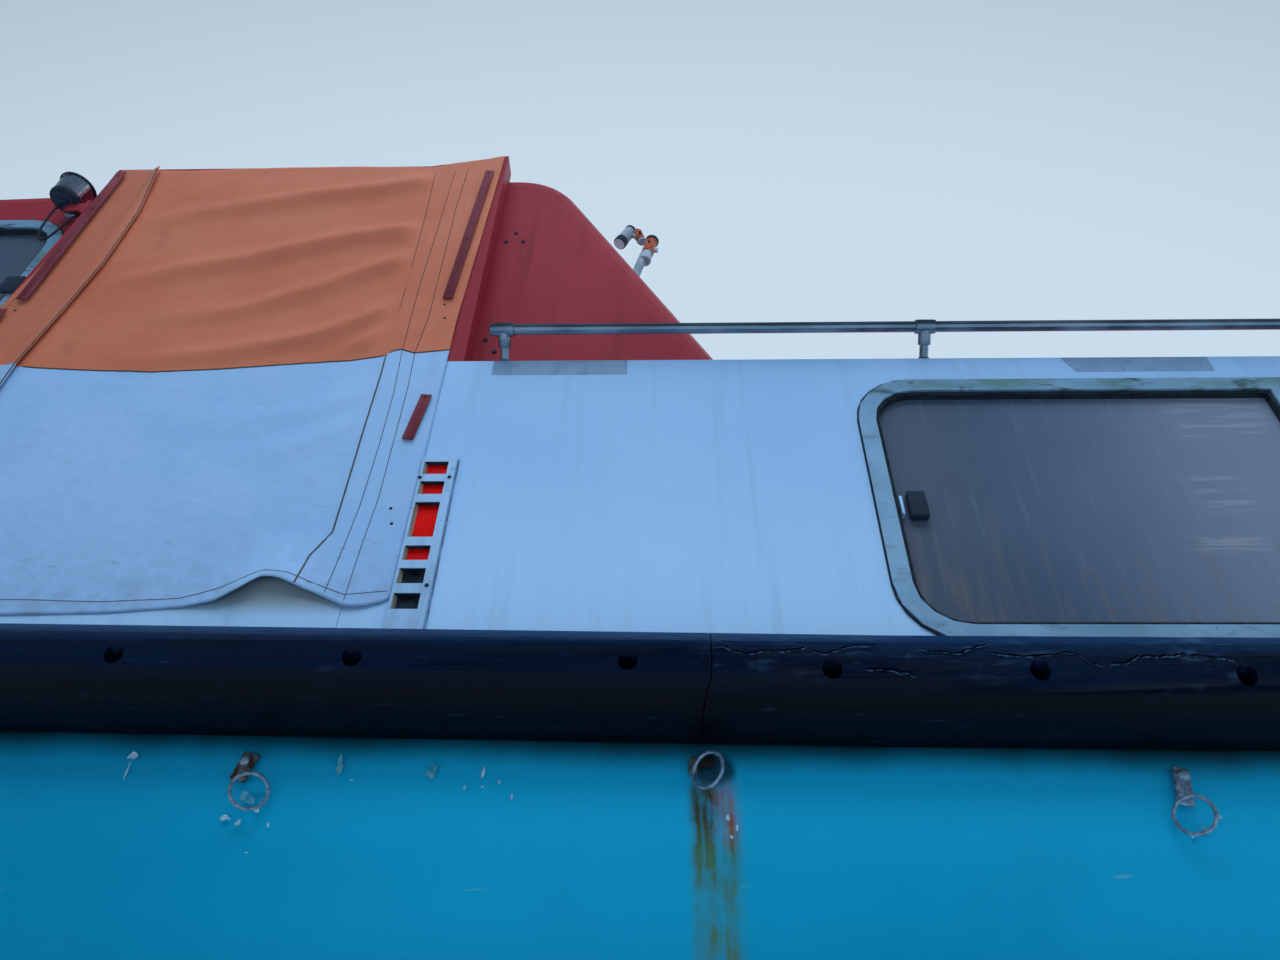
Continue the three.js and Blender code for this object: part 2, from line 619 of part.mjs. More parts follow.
// Door surrounds stand out from the canopy's side, flush with the white wall. Their aft edge leans forward
// a little, and their top rises to the fore corner.
const surroundOutline = [[SURROUND_AFT_FOOT, CANOPY_FOOT], [SURROUND_FORE, CANOPY_FOOT],
  [SURROUND_FORE, SURROUND_FORE_TOP], [0, 2626], [-140, SURROUND_TOP], [SURROUND_AFT_HEAD, SURROUND_TOP]];
for (const side of [-1, 1]) {
  const whole = solid(profilePrism(surroundOutline, -WALL_Y, -CANOPY_Y - GAP));
  const opening = block(DOOR_AFT, DOOR_FORE, -WALL_Y - 50, -CANOPY_Y + 50, CANOPY_FOOT - 50, SURROUND_HEAD);
  add(`door_surround_${sideName(side)}`, mirrorY(shapeOf(cut(whole, opening)), side), red);
  const curtain = box(CURTAIN_AFT, CURTAIN_FORE, -WALL_Y - GAP - CURTAIN_THICK, -WALL_Y - GAP,
    CURTAIN_FOOT, CURTAIN_TOP);
  add(`curtain_${sideName(side)}`, mirrorY(curtain, side), canvas);
}

// Slotted step strip beside each door: seven rungs at one pitch, with one rung missing.
const STRIP_X = [47, 117];
const STRIP_Z = [955, 1380];
const SLOT_X = [52, 101];
const STRIP_THICK = 12;
const SLOT_HEIGHT = 35;
// foot of each slot, and its height
const slots = [[1000, SLOT_HEIGHT], [1057, SLOT_HEIGHT], [1111, SLOT_HEIGHT], [1167, 89],
  [1277, SLOT_HEIGHT], [1332, SLOT_HEIGHT]];
const slotted = cut(block(...STRIP_X, -WALL_Y - GAP - STRIP_THICK, -WALL_Y - GAP, ...STRIP_Z),
  ...slots.map(([foot, height]) => block(...SLOT_X, -WALL_Y - 50, -WALL_Y + 50, foot, foot + height)));
for (const side of [-1, 1]) add(`step_strip_${sideName(side)}`, mirrorY(shapeOf(slotted), side), white);

// Deck: one plate inside the hull's rim, open over the two cabins and the helm.
const WELL_INSET = 110;
const WELL_HEIGHTS = [700, 1100];
const deckPlate = block(-HULL_END, HULL_END, -WALL_Y, WALL_Y, FREEBOARD - DECK_THICK, FREEBOARD);
const deckSlab = deckPlate.intersect(insideHull);
const wells = [solid(planPrism(foreOutline(SLOPE_FOOT_X + 20, WELL_INSET, 0), ...WELL_HEIGHTS)),
  block(AFT_SPLIT_X + 60, SLOPE_FOOT_X - 80, -WALL_Y + FLANGE, WALL_Y - FLANGE, ...WELL_HEIGHTS),
  solid(planPrism(aftOutline(AFT_SPLIT_X - 60, WELL_INSET), ...WELL_HEIGHTS))];
add('deck', shapeOf(cut(deckSlab, ...wells)), cream);

// Inner moulding: the helm floor over the engine room with a bulkhead at each end, steps down into
// the cabins, and in each cabin a sole with a bench along each side, shaped to the hull.
const HELM_AFT = AFT_SPLIT_X + 30;
const HELM_FORE = SLOPE_FOOT_X - 60;
const BULKHEAD = 30;
const CABIN_FORE_END = 4300;
const CABIN_AFT_END = -4700;
const BENCH_Y = 980;
const BENCH_TOP = 190;
const STEP_HALF = 400;
const BILGE = -900;
const across = (x0, x1, z0, z1) => block(x0, x1, -BEAM / 2, BEAM / 2, z0, z1);
const step = (x0, x1, top) => block(x0, x1, -STEP_HALF, STEP_HALF, SOLE - 1, top);
const bench = (x0, x1, side) => block(x0, x1, Math.min(side * BENCH_Y, side * BEAM),
  Math.max(side * BENCH_Y, side * BEAM), SOLE - 1, BENCH_TOP);
const innerMoulding = joined(
  across(HELM_AFT, HELM_FORE, HELM_FLOOR - SLAB, HELM_FLOOR),
  across(HELM_FORE - BULKHEAD, HELM_FORE, BILGE, HELM_FLOOR),
  across(HELM_AFT, HELM_AFT + BULKHEAD, BILGE, HELM_FLOOR),
  ...[[HELM_FORE - 1, CABIN_FORE_END], [CABIN_AFT_END, HELM_AFT + 1]].flatMap(([x0, x1]) => [
    across(x0, x1, SOLE - SLAB, SOLE), bench(x0, x1, -1), bench(x0, x1, 1)]),
  step(HELM_FORE - 1, HELM_FORE + 240, 350),
  step(HELM_FORE - 1, HELM_FORE + 480, 50),
  step(HELM_AFT - 170, HELM_AFT + 1, 200)).intersect(insideHull);
const shaftPassage = block(CABIN_AFT_END - 5, HELM_FORE + 5, -70, 70, BILGE, -420);
add('inner_moulding', shapeOf(cut(innerMoulding, shaftPassage)), cream);
add('engine', box(-2500, -1100, -400, 400, BEARER_TOP + GAP, 450), greyPaint);

// Helm: console, wheel and seat, all to starboard of the middle.
const HELM_Y = -250;
const CONSOLE_AFT = 180;
const CONSOLE_HALF = 500;
const consoleProfile = [[CONSOLE_AFT, HELM_FLOOR + GAP], [520, HELM_FLOOR + GAP], [520, 1500], [420, 1560],
  [250, 1420], [CONSOLE_AFT, 1380]];
add('console', profilePrism(consoleProfile, -CONSOLE_HALF, CONSOLE_HALF), darkPlastic);
const WHEEL_X = 150;
const WHEEL_Z = 1240;
const WHEEL_RADIUS = 190;
const wheelRim = new THREE.TorusGeometry(WHEEL_RADIUS, 14, 8, 28).rotateY(Math.PI / 2);
wheelRim.translate(WHEEL_X, HELM_Y, WHEEL_Z);
const spokes = [0, 60, 120].map((angle) => {
  const a = THREE.MathUtils.degToRad(angle);
  const [dy, dz] = [WHEEL_RADIUS * Math.cos(a), WHEEL_RADIUS * Math.sin(a)];
  return rod([WHEEL_X, HELM_Y - dy, WHEEL_Z - dz], [WHEEL_X, HELM_Y + dy, WHEEL_Z + dz], 9, 8);
});
const wheelHub = rod([WHEEL_X - 20, HELM_Y, WHEEL_Z], [CONSOLE_AFT - GAP, HELM_Y, WHEEL_Z], 34, 16);
add('steering_wheel', shapeOf(joined(solid(wheelRim), wheelHub, ...spokes)), steel);
const SEAT_X = -420;
const SEAT_AFT = -640;
const SEAT_FOOT = 1100;
const SEAT_TOP = 1200;
const seatSides = [HELM_Y - 230, HELM_Y + 230];
const seat = joined(
  rod([SEAT_X, HELM_Y, HELM_FLOOR + GAP], [SEAT_X, HELM_Y, SEAT_FOOT + 1], 55, 16),
  block(SEAT_AFT, -200, ...seatSides, SEAT_FOOT, SEAT_TOP),
  block(SEAT_AFT, -560, ...seatSides, SEAT_TOP - 10, 1650));
add('helm_seat', shapeOf(seat), cushion);

// Grab rails along the roof's edge, on stanchions that lean outwards.
const RAIL_OUT = 47;
const RAIL_UP = 55;
const RAIL_RADIUS = 12.5;
// name of the length, its ends, and its stanchions
const rails = [
  ['fore', [148, 2890], [175, 1130, 2085, 2860]],
  ['aft', [-4850, -2960], [-4820, -3900, -2990]],
];
const railAxis = [-WALL_Y - RAIL_OUT, WALL_TOP + RAIL_UP];
for (const [name, [x0, x1], stanchions] of rails) {
  const rail = rod([x0, ...railAxis], [x1, ...railAxis], RAIL_RADIUS, 12);
  const posts = stanchions.map((x) => rod([x, -WALL_Y + 14, ROOF_FOOT + 10], [x, ...railAxis], 10, 10));
  const footY = -WALL_Y + 15;
  const feet = stanchions.map((x) => rod([x, footY, ROOF_FOOT], [x, footY, ROOF_FOOT + 12], 14, 12));
  const whole = shapeOf(joined(rail, ...posts, ...feet));
  for (const side of [-1, 1]) add(`grab_rail_${name}_${sideName(side)}`, mirrorY(whole, side), steel);
}

// Lamps on the canopy's sides, in the nook aft of the door surrounds: a round can on a bracket,
// turned up, with its cap below and its mouth above.
const LAMP_CAP = [-1159, -1655, 2436];
const LAMP_MOUTH = [-1150, -1656, 2495];
const LAMP_CAP_RADIUS = 43;
const LAMP_MOUTH_RADIUS = 48;
const LAMP_ARM_Z = LAMP_CAP[2] + 6;
const lampFoot = block(LAMP_CAP[0] - 28, LAMP_CAP[0] + 28, -CANOPY_Y - 6, -CANOPY_Y - GAP,
  LAMP_ARM_Z - 18, LAMP_ARM_Z + 18);
const lampArm = rod([LAMP_CAP[0], -CANOPY_Y - 4, LAMP_ARM_Z], [LAMP_CAP[0], LAMP_CAP[1] + 12, LAMP_ARM_Z],
  11, 10);
const lampCan = rod(LAMP_CAP, LAMP_MOUTH, LAMP_CAP_RADIUS, 24, LAMP_MOUTH_RADIUS);
const lampShape = shapeOf(joined(lampCan, lampArm, lampFoot));
for (const side of [-1, 1]) add(`door_lamp_${sideName(side)}`, mirrorY(lampShape, side), steel);

// Folding mast on the wheelhouse's roof, which leans forward, with a searchlight drum clamped to its head.
const MAST_X = -10;
const MAST_Z = 2790;
const MAST_HEAD = [430, 0, 4640];
const FOOT_HALF = 70;
const EYE_HALF = 31;
const slotHalf = EYE_HALF + GAP + 0.1;
const roofAtMast = CANOPY_CROWN - CROWN_FALLS[0][1];
const mastFoot = cut(block(MAST_X - FOOT_HALF, MAST_X + FOOT_HALF, -60, 60, roofAtMast + GAP, MAST_Z + 40),
  block(MAST_X - FOOT_HALF - 5, MAST_X + FOOT_HALF + 5, -slotHalf, slotHalf, MAST_Z - 35, MAST_Z + 70));
add('mast_foot', shapeOf(mastFoot), greyPaint);
// The tube, its eye, the pole's clamp, the clamps' link, the drum's clamp and the drum.
// Each is a rod: from, to, radius, sides.
const mastParts = [
  [[MAST_X, 0, MAST_Z], MAST_HEAD, 25, 14],
  [[MAST_X, -EYE_HALF, MAST_Z], [MAST_X, EYE_HALF, MAST_Z], 27, 16],
  [[432, 0, 4580], [474, 0, 4780], 31, 12],
  [[462, 0, 4745], [352, 0, 4850], 14, 10],
  [[418, 0, 4770], [390, 0, 4865], 24, 12],
  [[290, 0, 4762], [350, 0, 4890], 34, 20],
];
add('mast', shapeOf(joined(...mastParts.map((row) => rod(...row)))), greyPaint);

// Lifting hooks fore and aft: a steel post on the deck and a hook that turns on a pin to release.
const POST_TOP = FREEBOARD + 330;
const PIN_Z = POST_TOP - 70;
const FORK_HALF = 28;
const HOOK_HALF = 22;
// The hook's outline from its pin, with the mouth towards +x.
const HOOK_OUTLINE = [[-45, -45], [45, -45], [60, 20], [130, 60], [135, 170], [70, 225], [0, 200], [45, 175],
  [80, 140], [60, 95], [0, 70], [-45, 45]];
// name, x of the post, direction of the hook's mouth
for (const [name, x, way] of [['fore', 5320, 1], ['aft', -5950, -1]]) {
  const base = block(x - 150, x + 150, -120, 120, FREEBOARD + GAP, FREEBOARD + 24);
  const stem = block(x - 80, x + 80, -60, 60, FREEBOARD + 20, POST_TOP);
  const fork = block(x - 90, x + 90, -FORK_HALF, FORK_HALF, POST_TOP - 170, POST_TOP + 10);
  add(`hook_post_${name}`, shapeOf(cut(joined(base, stem), fork)), steel);
  const outline = HOOK_OUTLINE.map(([along, up]) => [x + way * along, PIN_Z + up]);
  const body = solid(profilePrism(way > 0 ? outline : outline.reverse(), -HOOK_HALF, HOOK_HALF));
  const pin = rod([x, -FORK_HALF + GAP, PIN_Z], [x, FORK_HALF - GAP, PIN_Z], HOOK_HALF, 16);
  add(`hook_${name}`, shapeOf(joined(body, pin)), steel);
}

// Lids and the aft door.
const LID = HATCH + 60;
const LID_THICK = 35;
function lid(x, y, foot) {
  const half = LID / 2;
  return planPrism(roundedRect(x - half, x + half, y - half, y + half, 60), foot, foot + LID_THICK);
}
add('fore_hatch', lid(FORE_HATCH_X, 0, COAMING_TOP + GAP), red);
add('roof_hatch', lid(ROOF_HATCH.x, ROOF_HATCH.y, CANOPY_COAMING_TOP + GAP), red);
const doorFace = roundedRect(-AFT_DOOR_HALF, AFT_DOOR_HALF, AFT_DOOR_FOOT, AFT_DOOR_TOP, 50);
const AFT_DOOR_THICK = 32;
const doorSlab = profilePrism(doorFace, AFT_FACE_X - GAP - AFT_DOOR_THICK, AFT_FACE_X - GAP);
add('aft_door', outward(doorSlab.rotateZ(Math.PI / 2).scale(-1, 1, 1)), white);

// Rudder and propeller.
const bladeSection = [[-5700, 0], [-5730, 24], [RUDDER_X, 34], [-6040, 6], [-6040, -6], [RUDDER_X, -34],
  [-5730, -24]];
const rudder = joined(solid(planPrism(bladeSection, -755, -215)),
  rod([RUDDER_X, 0, -230], [RUDDER_X, 0, -70], 30, 24));
add('rudder', shapeOf(rudder), bronze);
const PROP_X = -5400;
const PROP_RADIUS = 220;
// Half a blade's thickness, breadth and length, and its pitch in degrees.
const BLADE = [9, 78, 92];
const BLADE_PITCH = 32;
const blades = [0, 90, 180, 270].map((angle) => {
  const blade = new THREE.SphereGeometry(1, 14, 8).scale(...BLADE).translate(0, 0, PROP_RADIUS - BLADE[2]);
  blade.rotateZ(THREE.MathUtils.degToRad(BLADE_PITCH)).rotateX(THREE.MathUtils.degToRad(angle));
  return solid(blade.translate(PROP_X, 0, SHAFT_Z));
});
const propeller = joined(
  rod([PROP_X + 60, 0, SHAFT_Z], [PROP_X - 70, 0, SHAFT_Z], 48, 18, 30),
  rod([PROP_X + 50, 0, SHAFT_Z], [-4965, 0, SHAFT_Z], 22, 16), ...blades);
add('propeller', shapeOf(propeller), bronze);

export default boat;
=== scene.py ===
import bpy
from math import atan2, cos, exp, pi, radians, sin
from mathutils import Matrix, Vector, noise


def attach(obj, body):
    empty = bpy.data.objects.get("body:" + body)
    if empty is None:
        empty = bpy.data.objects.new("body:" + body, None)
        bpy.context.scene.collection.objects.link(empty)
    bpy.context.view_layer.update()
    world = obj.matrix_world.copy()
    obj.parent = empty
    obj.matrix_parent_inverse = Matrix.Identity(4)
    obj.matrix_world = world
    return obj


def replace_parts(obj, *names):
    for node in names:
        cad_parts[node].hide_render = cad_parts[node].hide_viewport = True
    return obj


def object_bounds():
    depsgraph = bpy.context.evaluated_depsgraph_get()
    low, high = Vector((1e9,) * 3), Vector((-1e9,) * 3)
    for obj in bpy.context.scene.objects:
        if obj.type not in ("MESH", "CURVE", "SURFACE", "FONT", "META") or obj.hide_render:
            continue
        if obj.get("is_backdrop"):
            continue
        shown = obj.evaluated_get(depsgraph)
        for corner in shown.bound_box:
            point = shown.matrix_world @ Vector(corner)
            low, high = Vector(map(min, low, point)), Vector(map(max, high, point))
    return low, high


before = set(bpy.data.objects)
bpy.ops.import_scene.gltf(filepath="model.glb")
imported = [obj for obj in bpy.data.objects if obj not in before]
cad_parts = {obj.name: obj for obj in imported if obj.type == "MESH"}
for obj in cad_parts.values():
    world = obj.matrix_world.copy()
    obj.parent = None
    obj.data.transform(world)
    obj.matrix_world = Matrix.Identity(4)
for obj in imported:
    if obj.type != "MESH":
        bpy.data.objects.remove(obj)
cad_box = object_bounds()
bpy.ops.object.select_all(action="DESELECT")

# Camera. It stands on the floor 1.4 m from the starboard side and looks up at the side door.
# The eye is in metres from the middle of the waterline; yaw turns it aft and roll tips it anticlockwise.
EYE = Vector((0.54, -3.06, 0.0))
PITCH, YAW, ROLL = radians(43.4), radians(-2.0), radians(1.2)
SENSOR = 36.0
FOCAL_PIXELS, FRAME_WIDTH = 961.0, 1280.0
forward = Vector((sin(YAW) * cos(PITCH), cos(YAW) * cos(PITCH), sin(PITCH)))
level = Vector((cos(YAW), -sin(YAW), 0.0))
upright = level.cross(forward)
right = level * cos(ROLL) + upright * sin(ROLL)
up = upright * cos(ROLL) - level * sin(ROLL)
bpy.ops.object.camera_add()
camera = bpy.context.object
camera.name = "eye_on_the_floor"
camera.matrix_world = Matrix.Translation(EYE) @ Matrix((right, up, -forward)).transposed().to_4x4()
camera.data.sensor_width = SENSOR
camera.data.lens = FOCAL_PIXELS / FRAME_WIDTH * SENSOR
camera.data.clip_start = 0.05
bpy.context.scene.camera = camera


# Studio. A plain pale floor at the waterline, a pale room and three broad soft lamps, all a little
# cool, because the boat's side is lit by open sky alone.
def linear(code):
    """An sRGB hex colour as a linear colour with full alpha."""
    parts = [int(code[i:i + 2], 16) / 255 for i in (1, 3, 5)]
    return [p / 12.92 if p <= 0.04045 else ((p + 0.055) / 1.055) ** 2.4 for p in parts] + [1.0]


def wire(kind, inputs=None, **settings):
    """Adds a node to the tree in hand, sets it up, and fills its inputs with numbers, colours or links."""
    made = tree.nodes.new(kind)
    for key, value in settings.items():
        setattr(made, key, value)
    for key, value in (inputs or {}).items():
        if isinstance(value, bpy.types.NodeSocket):
            tree.links.new(value, made.inputs[key])
        else:
            made.inputs[key].default_value = linear(value) if isinstance(value, str) else value
    return made


def finish(name, **sockets):
    """A new material, taken in hand, with the numbers that are the same all over it."""
    global tree, shader
    made = bpy.data.materials.new(name)
    made.use_nodes = True
    tree = made.node_tree
    shader = tree.nodes["Principled BSDF"]
    for key, value in sockets.items():
        shader.inputs[key.replace("_", " ")].default_value = linear(value) if key == "Base_Color" else value
    return made


def pattern(scale, stretch=(1, 1, 1), detail=3.0, warp=0.0):
    """Noise on the piece's own place in metres. scale is spots to the metre; stretch squeezes it per axis."""
    origin = wire("ShaderNodeTexCoord").outputs["Object"]
    squeezed = wire("ShaderNodeMapping", {"Vector": origin, "Scale": stretch}).outputs[0]
    return wire("ShaderNodeTexNoise", {"Vector": squeezed, "Scale": scale, "Detail": detail,
        "Roughness": 0.55, "Distortion": warp}).outputs[0]


def between(value, low, high, start=0.0, end=1.0):
    """A value eased from start to end as the input goes from low to high."""
    return wire("ShaderNodeMapRange", {"Value": value, "From Min": low, "From Max": high, "To Min": start,
        "To Max": end}, interpolation_type="SMOOTHSTEP").outputs[0]


def blended(share, first, second):
    """Two colours mixed by a share. Either may be a socket or a colour."""
    return wire("ShaderNodeMix", {0: share, 6: first, 7: second}, data_type="RGBA").outputs[2]


def layered(colour, *layers):
    """Lays more colours over the first one, each by its share."""
    for share, over in layers:
        colour = blended(share, colour, over)
    return colour


def maths(operation, first, *others):
    """Values put through one operation, left to right."""
    for other in others:
        first = wire("ShaderNodeMath", {0: first, 1: other}, operation=operation).outputs[0]
    return first


def product(*values):
    return maths("MULTIPLY", *values)


def place():
    """The x, y and z of the piece's own place."""
    return wire("ShaderNodeSeparateXYZ", {0: wire("ShaderNodeTexCoord").outputs["Object"]}).outputs


def raised(height, depth):
    """Bump from a height of 0 to 1, depth metres deep."""
    bump = wire("ShaderNodeBump", {"Height": height, "Distance": depth, "Strength": 1.0})
    tree.links.new(bump.outputs[0], shader.inputs["Normal"])


def mottled(share, first, second, low, high, bump=None, depth=0.0):
    """Two colours, and the roughness of each, laid in one pattern."""
    coat(blended(share, first, second), between(share, 0, 1, low, high), bump, depth)


def coat(colour, rough=None, bump=None, depth=0.0):
    """Gives the material in hand its colour, its roughness and its bump."""
    tree.links.new(colour, shader.inputs["Base Color"])
    if rough:
        tree.links.new(rough, shader.inputs["Roughness"])
    if bump:
        raised(bump, depth)


room = bpy.data.worlds.new("studio_room")
room.use_nodes = True
bpy.context.scene.world = room
bpy.context.scene.view_settings.view_transform = "Standard"
tree = room.node_tree
# The room is palest behind the boat and darker towards the camera, so that the glossy side stays clear.
facing = wire("ShaderNodeSeparateXYZ", {0: wire("ShaderNodeTexCoord").outputs["Generated"]}).outputs[1]
pale = between(facing, -0.35, 0.55)
tree.links.new(blended(pale, "#8ba7c0", "#c9dcec"), tree.nodes["Background"].inputs[0])
tree.links.new(between(facing, -0.35, 0.55, 0.34), tree.nodes["Background"].inputs[1])
bpy.ops.mesh.primitive_plane_add(size=90, location=(0, 0, 0))
floor = bpy.context.object
floor.name = "studio_floor"
paper = finish("pale_studio_floor", Base_Color="#c3cdd5")
tree.links.new(between(pattern(1.5), 0.3, 0.7, 0.86, 0.94), shader.inputs["Roughness"])
floor.data.materials.append(paper)
floor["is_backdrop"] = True
# name, place, size, watts
for name, at, size, power in (
        ("sky_over_starboard", (0.5, -6.5, 11.0), 11.0, 1450.0),
        ("sky_over_port", (-1.0, 9.0, 8.0), 12.0, 650.0),
        ("sky_ahead", (13.0, -1.0, 7.0), 7.0, 300.0)):
    bpy.ops.object.light_add(type="AREA", location=at)
    lamp = bpy.context.object
    lamp.name = name
    lamp.rotation_euler = (Vector((0, 0, 1.0)) - Vector(at)).to_track_quat("-Z", "Y").to_euler()
    lamp.data.size = size
    lamp.data.energy = power
    lamp.data.color = linear("#d2e6fb")[:3]
    lamp.visible_glossy = name == "sky_ahead"


# Lamp leads. The two-core lead of each side lamp leaves the cap's boss, hangs in a narrow loop and goes
# back in through the wheelhouse's side. It is black PVC flex, 6 mm thick.
flex = finish("black_pvc_flex", IOR=1.5)
coat(blended(pattern(150, detail=3), "#10141a", "#2a313b"), between(pattern(90), 0.3, 0.7, 0.4, 0.6))
LEAD_WIDTH = 0.006
LEAD = ((-1.162, -1.655, 2.414), (-1.166, -1.66, 2.385), (-1.16, -1.664, 2.315), (-1.153, -1.665, 2.258),
    (-1.142, -1.664, 2.216), (-1.122, -1.66, 2.222), (-1.116, -1.652, 2.296), (-1.113, -1.641, 2.385),
    (-1.112, -1.626, 2.42), (-1.112, -1.603, 2.424))
for side_name, way in (("starboard", 1), ("port", -1)):
    route = [Vector((x, y * way, z)) for x, y, z in LEAD]
    for _ in range(2):
        # Cutting the corners twice turns the points into one smooth line.
        halves = [a.lerp(b, share) for a, b in zip(route, route[1:]) for share in (0.25, 0.75)]
        route = [route[0]] + halves[1:-1] + [route[-1]]
    bpy.ops.curve.primitive_nurbs_path_add()
    lead = bpy.context.object
    lead.name = f"lamp_lead_{side_name}"
    lead.data.splines.clear()
    line = lead.data.splines.new("POLY")
    line.points.add(len(route) - 1)
    for point, at in zip(line.points, route):
        point.co = (*at, 1)
    lead.data.bevel_depth = LEAD_WIDTH / 2
    lead.data.bevel_resolution = 3
    lead.data.use_fill_caps = True
    lead.data.materials.append(flex)
    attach(lead, "boat")
    lead.select_set(False)

# Hull. A glass-fibre moulding in teal gelcoat, sprayed in the mould and left glossy: years of weather
# have chalked it in soft patches, and grit has left short pale scratches along it.
def dress(material, *names):
    """Puts a material on CAD nodes."""
    for name in names:
        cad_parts[name].data.materials.clear()
        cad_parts[name].data.materials.append(material)


BELT_LEAN, BELT_LEAN_REACH = 0.026, 5.0
BOW_RISE, BOW_RISE_START, BOW_END = 0.16, 4.1, 6.32


def beside_belt():
    """A point's height as if the belt lay level. It leans down forward of the middle and rises at the bow."""
    spot = place()
    reach = maths("MAXIMUM", maths("MINIMUM", spot[0], BELT_LEAN_REACH), -BELT_LEAN_REACH)
    lean = maths("SINE", product(reach, pi / BELT_LEAN_REACH), 0)
    ahead = maths("MAXIMUM", maths("SUBTRACT", spot[0], BOW_RISE_START), 0.0)
    ahead = maths("DIVIDE", ahead, BOW_END - BOW_RISE_START)
    rise = product(ahead, ahead, BOW_RISE)
    level = maths("SUBTRACT", spot[2], rise)
    return maths("ADD", product(lean, BELT_LEAN), level)


teal = finish("teal_gelcoat", IOR=1.5, Specular_IOR_Level=0.22)
chalk = between(pattern(0.9, detail=5), 0.35, 0.7)
weather_and_shading = blended(chalk, "#00a4ca", "#06aed4")
spot = place()
# Patches and short scratches. Painted light makes the side palest high up and forward, and painted shade
# makes it duller low down and aft.
weather_and_shading = layered(weather_and_shading,
    (between(pattern(5, (1, 1, 0.25), detail=6), 0.5, 0.78, 0.0, 0.35), "#028eb4"),
    (between(pattern(60, (0.12, 1, 1.2), detail=2), 0.735, 0.76, 0.0, 0.5), "#7fbccf"),
    (between(spot[2], 0.34, 0.54, 0.75, 0.0), "#008db2"),
    (between(spot[2], 0.52, 0.66, 0.0, 0.8), "#10c2ea"),
    (between(spot[0], -0.6, 0.35, 0.55, 0.0), "#0086a8"))
# The rust streak under the ring beside the door: dark round the bolt, orange below it, then olive and thin.
side = maths("DIVIDE", maths("SUBTRACT", spot[0], 0.614), 0.04)
across = product(side, side)
core = between(across, 0.0, 1.35, 1.0, 0.0)
tall = product(between(spot[2], 0.05, 0.62), between(spot[2], 0.665, 0.7, 1.0, 0.0))
threads = between(pattern(70, (1, 1, 0.05), detail=4), 0.3, 0.66, 0.35)
patches = between(pattern(30, (1, 1, 0.5), detail=5), 0.36, 0.62, 0.35)
stain = product(core, tall, product(threads, patches))
rust = blended(between(side, -0.25, 0.45), "#4d4a2c", "#b3592a")
rust = blended(between(spot[2], 0.56, 0.63), "#4f7a5c", rust)
weather_and_shading = blended(product(stain, 1.5), weather_and_shading, rust)
below = maths("DIVIDE", maths("SUBTRACT", spot[2], 0.702), 0.03)
nearby = maths("ADD", maths("ADD", across, product(below, below)), product(patches, 0.4))
weather_and_shading = blended(between(nearby, 0.5, 1.5, 0.85, 0.0), weather_and_shading, "#17150f")
# Under the belt the side stays wet with green growth, darkened by painted shade to near black where the two
# meet.
height = beside_belt()
damp_and_shade = maths("ADD", between(pattern(7, (1, 1, 0.3), detail=4), 0.3, 0.7, -0.004, 0.004), height)
weather_and_shading = layered(weather_and_shading, (between(damp_and_shade, 0.697, 0.745, 0.0, 0.75), "#00343a"),
    (between(damp_and_shade, 0.727, 0.765), "#00060a"))
coat(weather_and_shading, between(maths("MAXIMUM", chalk, stain), 0, 1, 0.3, 0.52), pattern(45, detail=2), 0.0006)
dress(teal, "hull")

# Bare places on the hull where the gelcoat has chipped down to the pale laminate, and filler dabbed
# on by hand. Each is a thin flake that stands a fraction of a millimetre off the side.
filler = finish("dabbed_filler", Roughness=0.75, IOR=1.5)
mottle = between(pattern(90, detail=5), 0.35, 0.65)
coat(blended(mottle, "#9cc2d4", "#dbeef7"), bump=mottle, depth=0.0008)
SIDE_Y, RIM_Z, SIDE_DEPTH = -1.67, 0.92, 1.54
BILGE, FULLNESS = 1.7, 3.4


def hull_side(z):
    """How far out the hull's straight side is at a height, from its section's curve."""
    turn = min(max((RIM_Z - z) / SIDE_DEPTH, 0.0), 1.0) ** BILGE
    return SIDE_Y * (max(1 - turn * turn, 0.0) ** 0.5) ** (2 / FULLNESS)


loose = []
UPRIGHT = (radians(90), 0, 0)


def settle(material, name=None, body="boat", smooth=35):
    """Finishes the active piece: its place goes into its mesh, and it rides on its body. One that has no
    name yet waits to be gathered."""
    piece = bpy.context.object
    bpy.ops.object.transform_apply(location=True, rotation=True, scale=True)
    bpy.ops.object.shade_smooth_by_angle(angle=radians(smooth))
    piece.data.materials.clear()
    piece.data.materials.append(material)
    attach(piece, body)
    piece.select_set(False)
    if name:
        piece.name = name
    else:
        loose.append(piece)
    return piece


def activate(piece):
    """Selects one piece alone."""
    bpy.ops.object.select_all(action="DESELECT")
    piece.select_set(True)
    bpy.context.view_layer.objects.active = piece


def gathered(name, body=None, pieces=None):
    """Joins the pieces given, or all that wait, into one, and puts it on a body other than the boat."""
    pieces = pieces or loose[:]
    for piece in pieces:
        if piece in loose:
            loose.remove(piece)
    activate(pieces[0])
    for piece in pieces:
        piece.select_set(True)
    bpy.ops.object.join()
    pieces[0].name = name
    pieces[0].select_set(False)
    if body:
        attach(pieces[0], body)
    return pieces[0]


def copied(piece, name):
    """A copy of a piece, with a mesh of its own."""
    twin = piece.copy()
    twin.data = piece.data.copy()
    twin.name = name
    bpy.context.scene.collection.objects.link(twin)
    twin.select_set(False)
    return twin


def mirrored(piece, name):
    """The same piece on the other side."""
    twin = copied(piece, name)
    twin.data.transform(Matrix.Scale(-1, 4, (0, 1, 0)))
    twin.data.flip_normals()
    return twin


def both(name, pieces=None):
    """Gathers a piece of the starboard side and mirrors it to port."""
    mirrored(gathered(f"{name}_starboard", pieces=pieces), f"{name}_port")


def sized(*scale):
    """Scales the active piece and puts its place into its mesh."""
    piece = bpy.context.object
    piece.scale = scale
    bpy.ops.object.transform_apply(location=True, rotation=True, scale=True)
    return piece


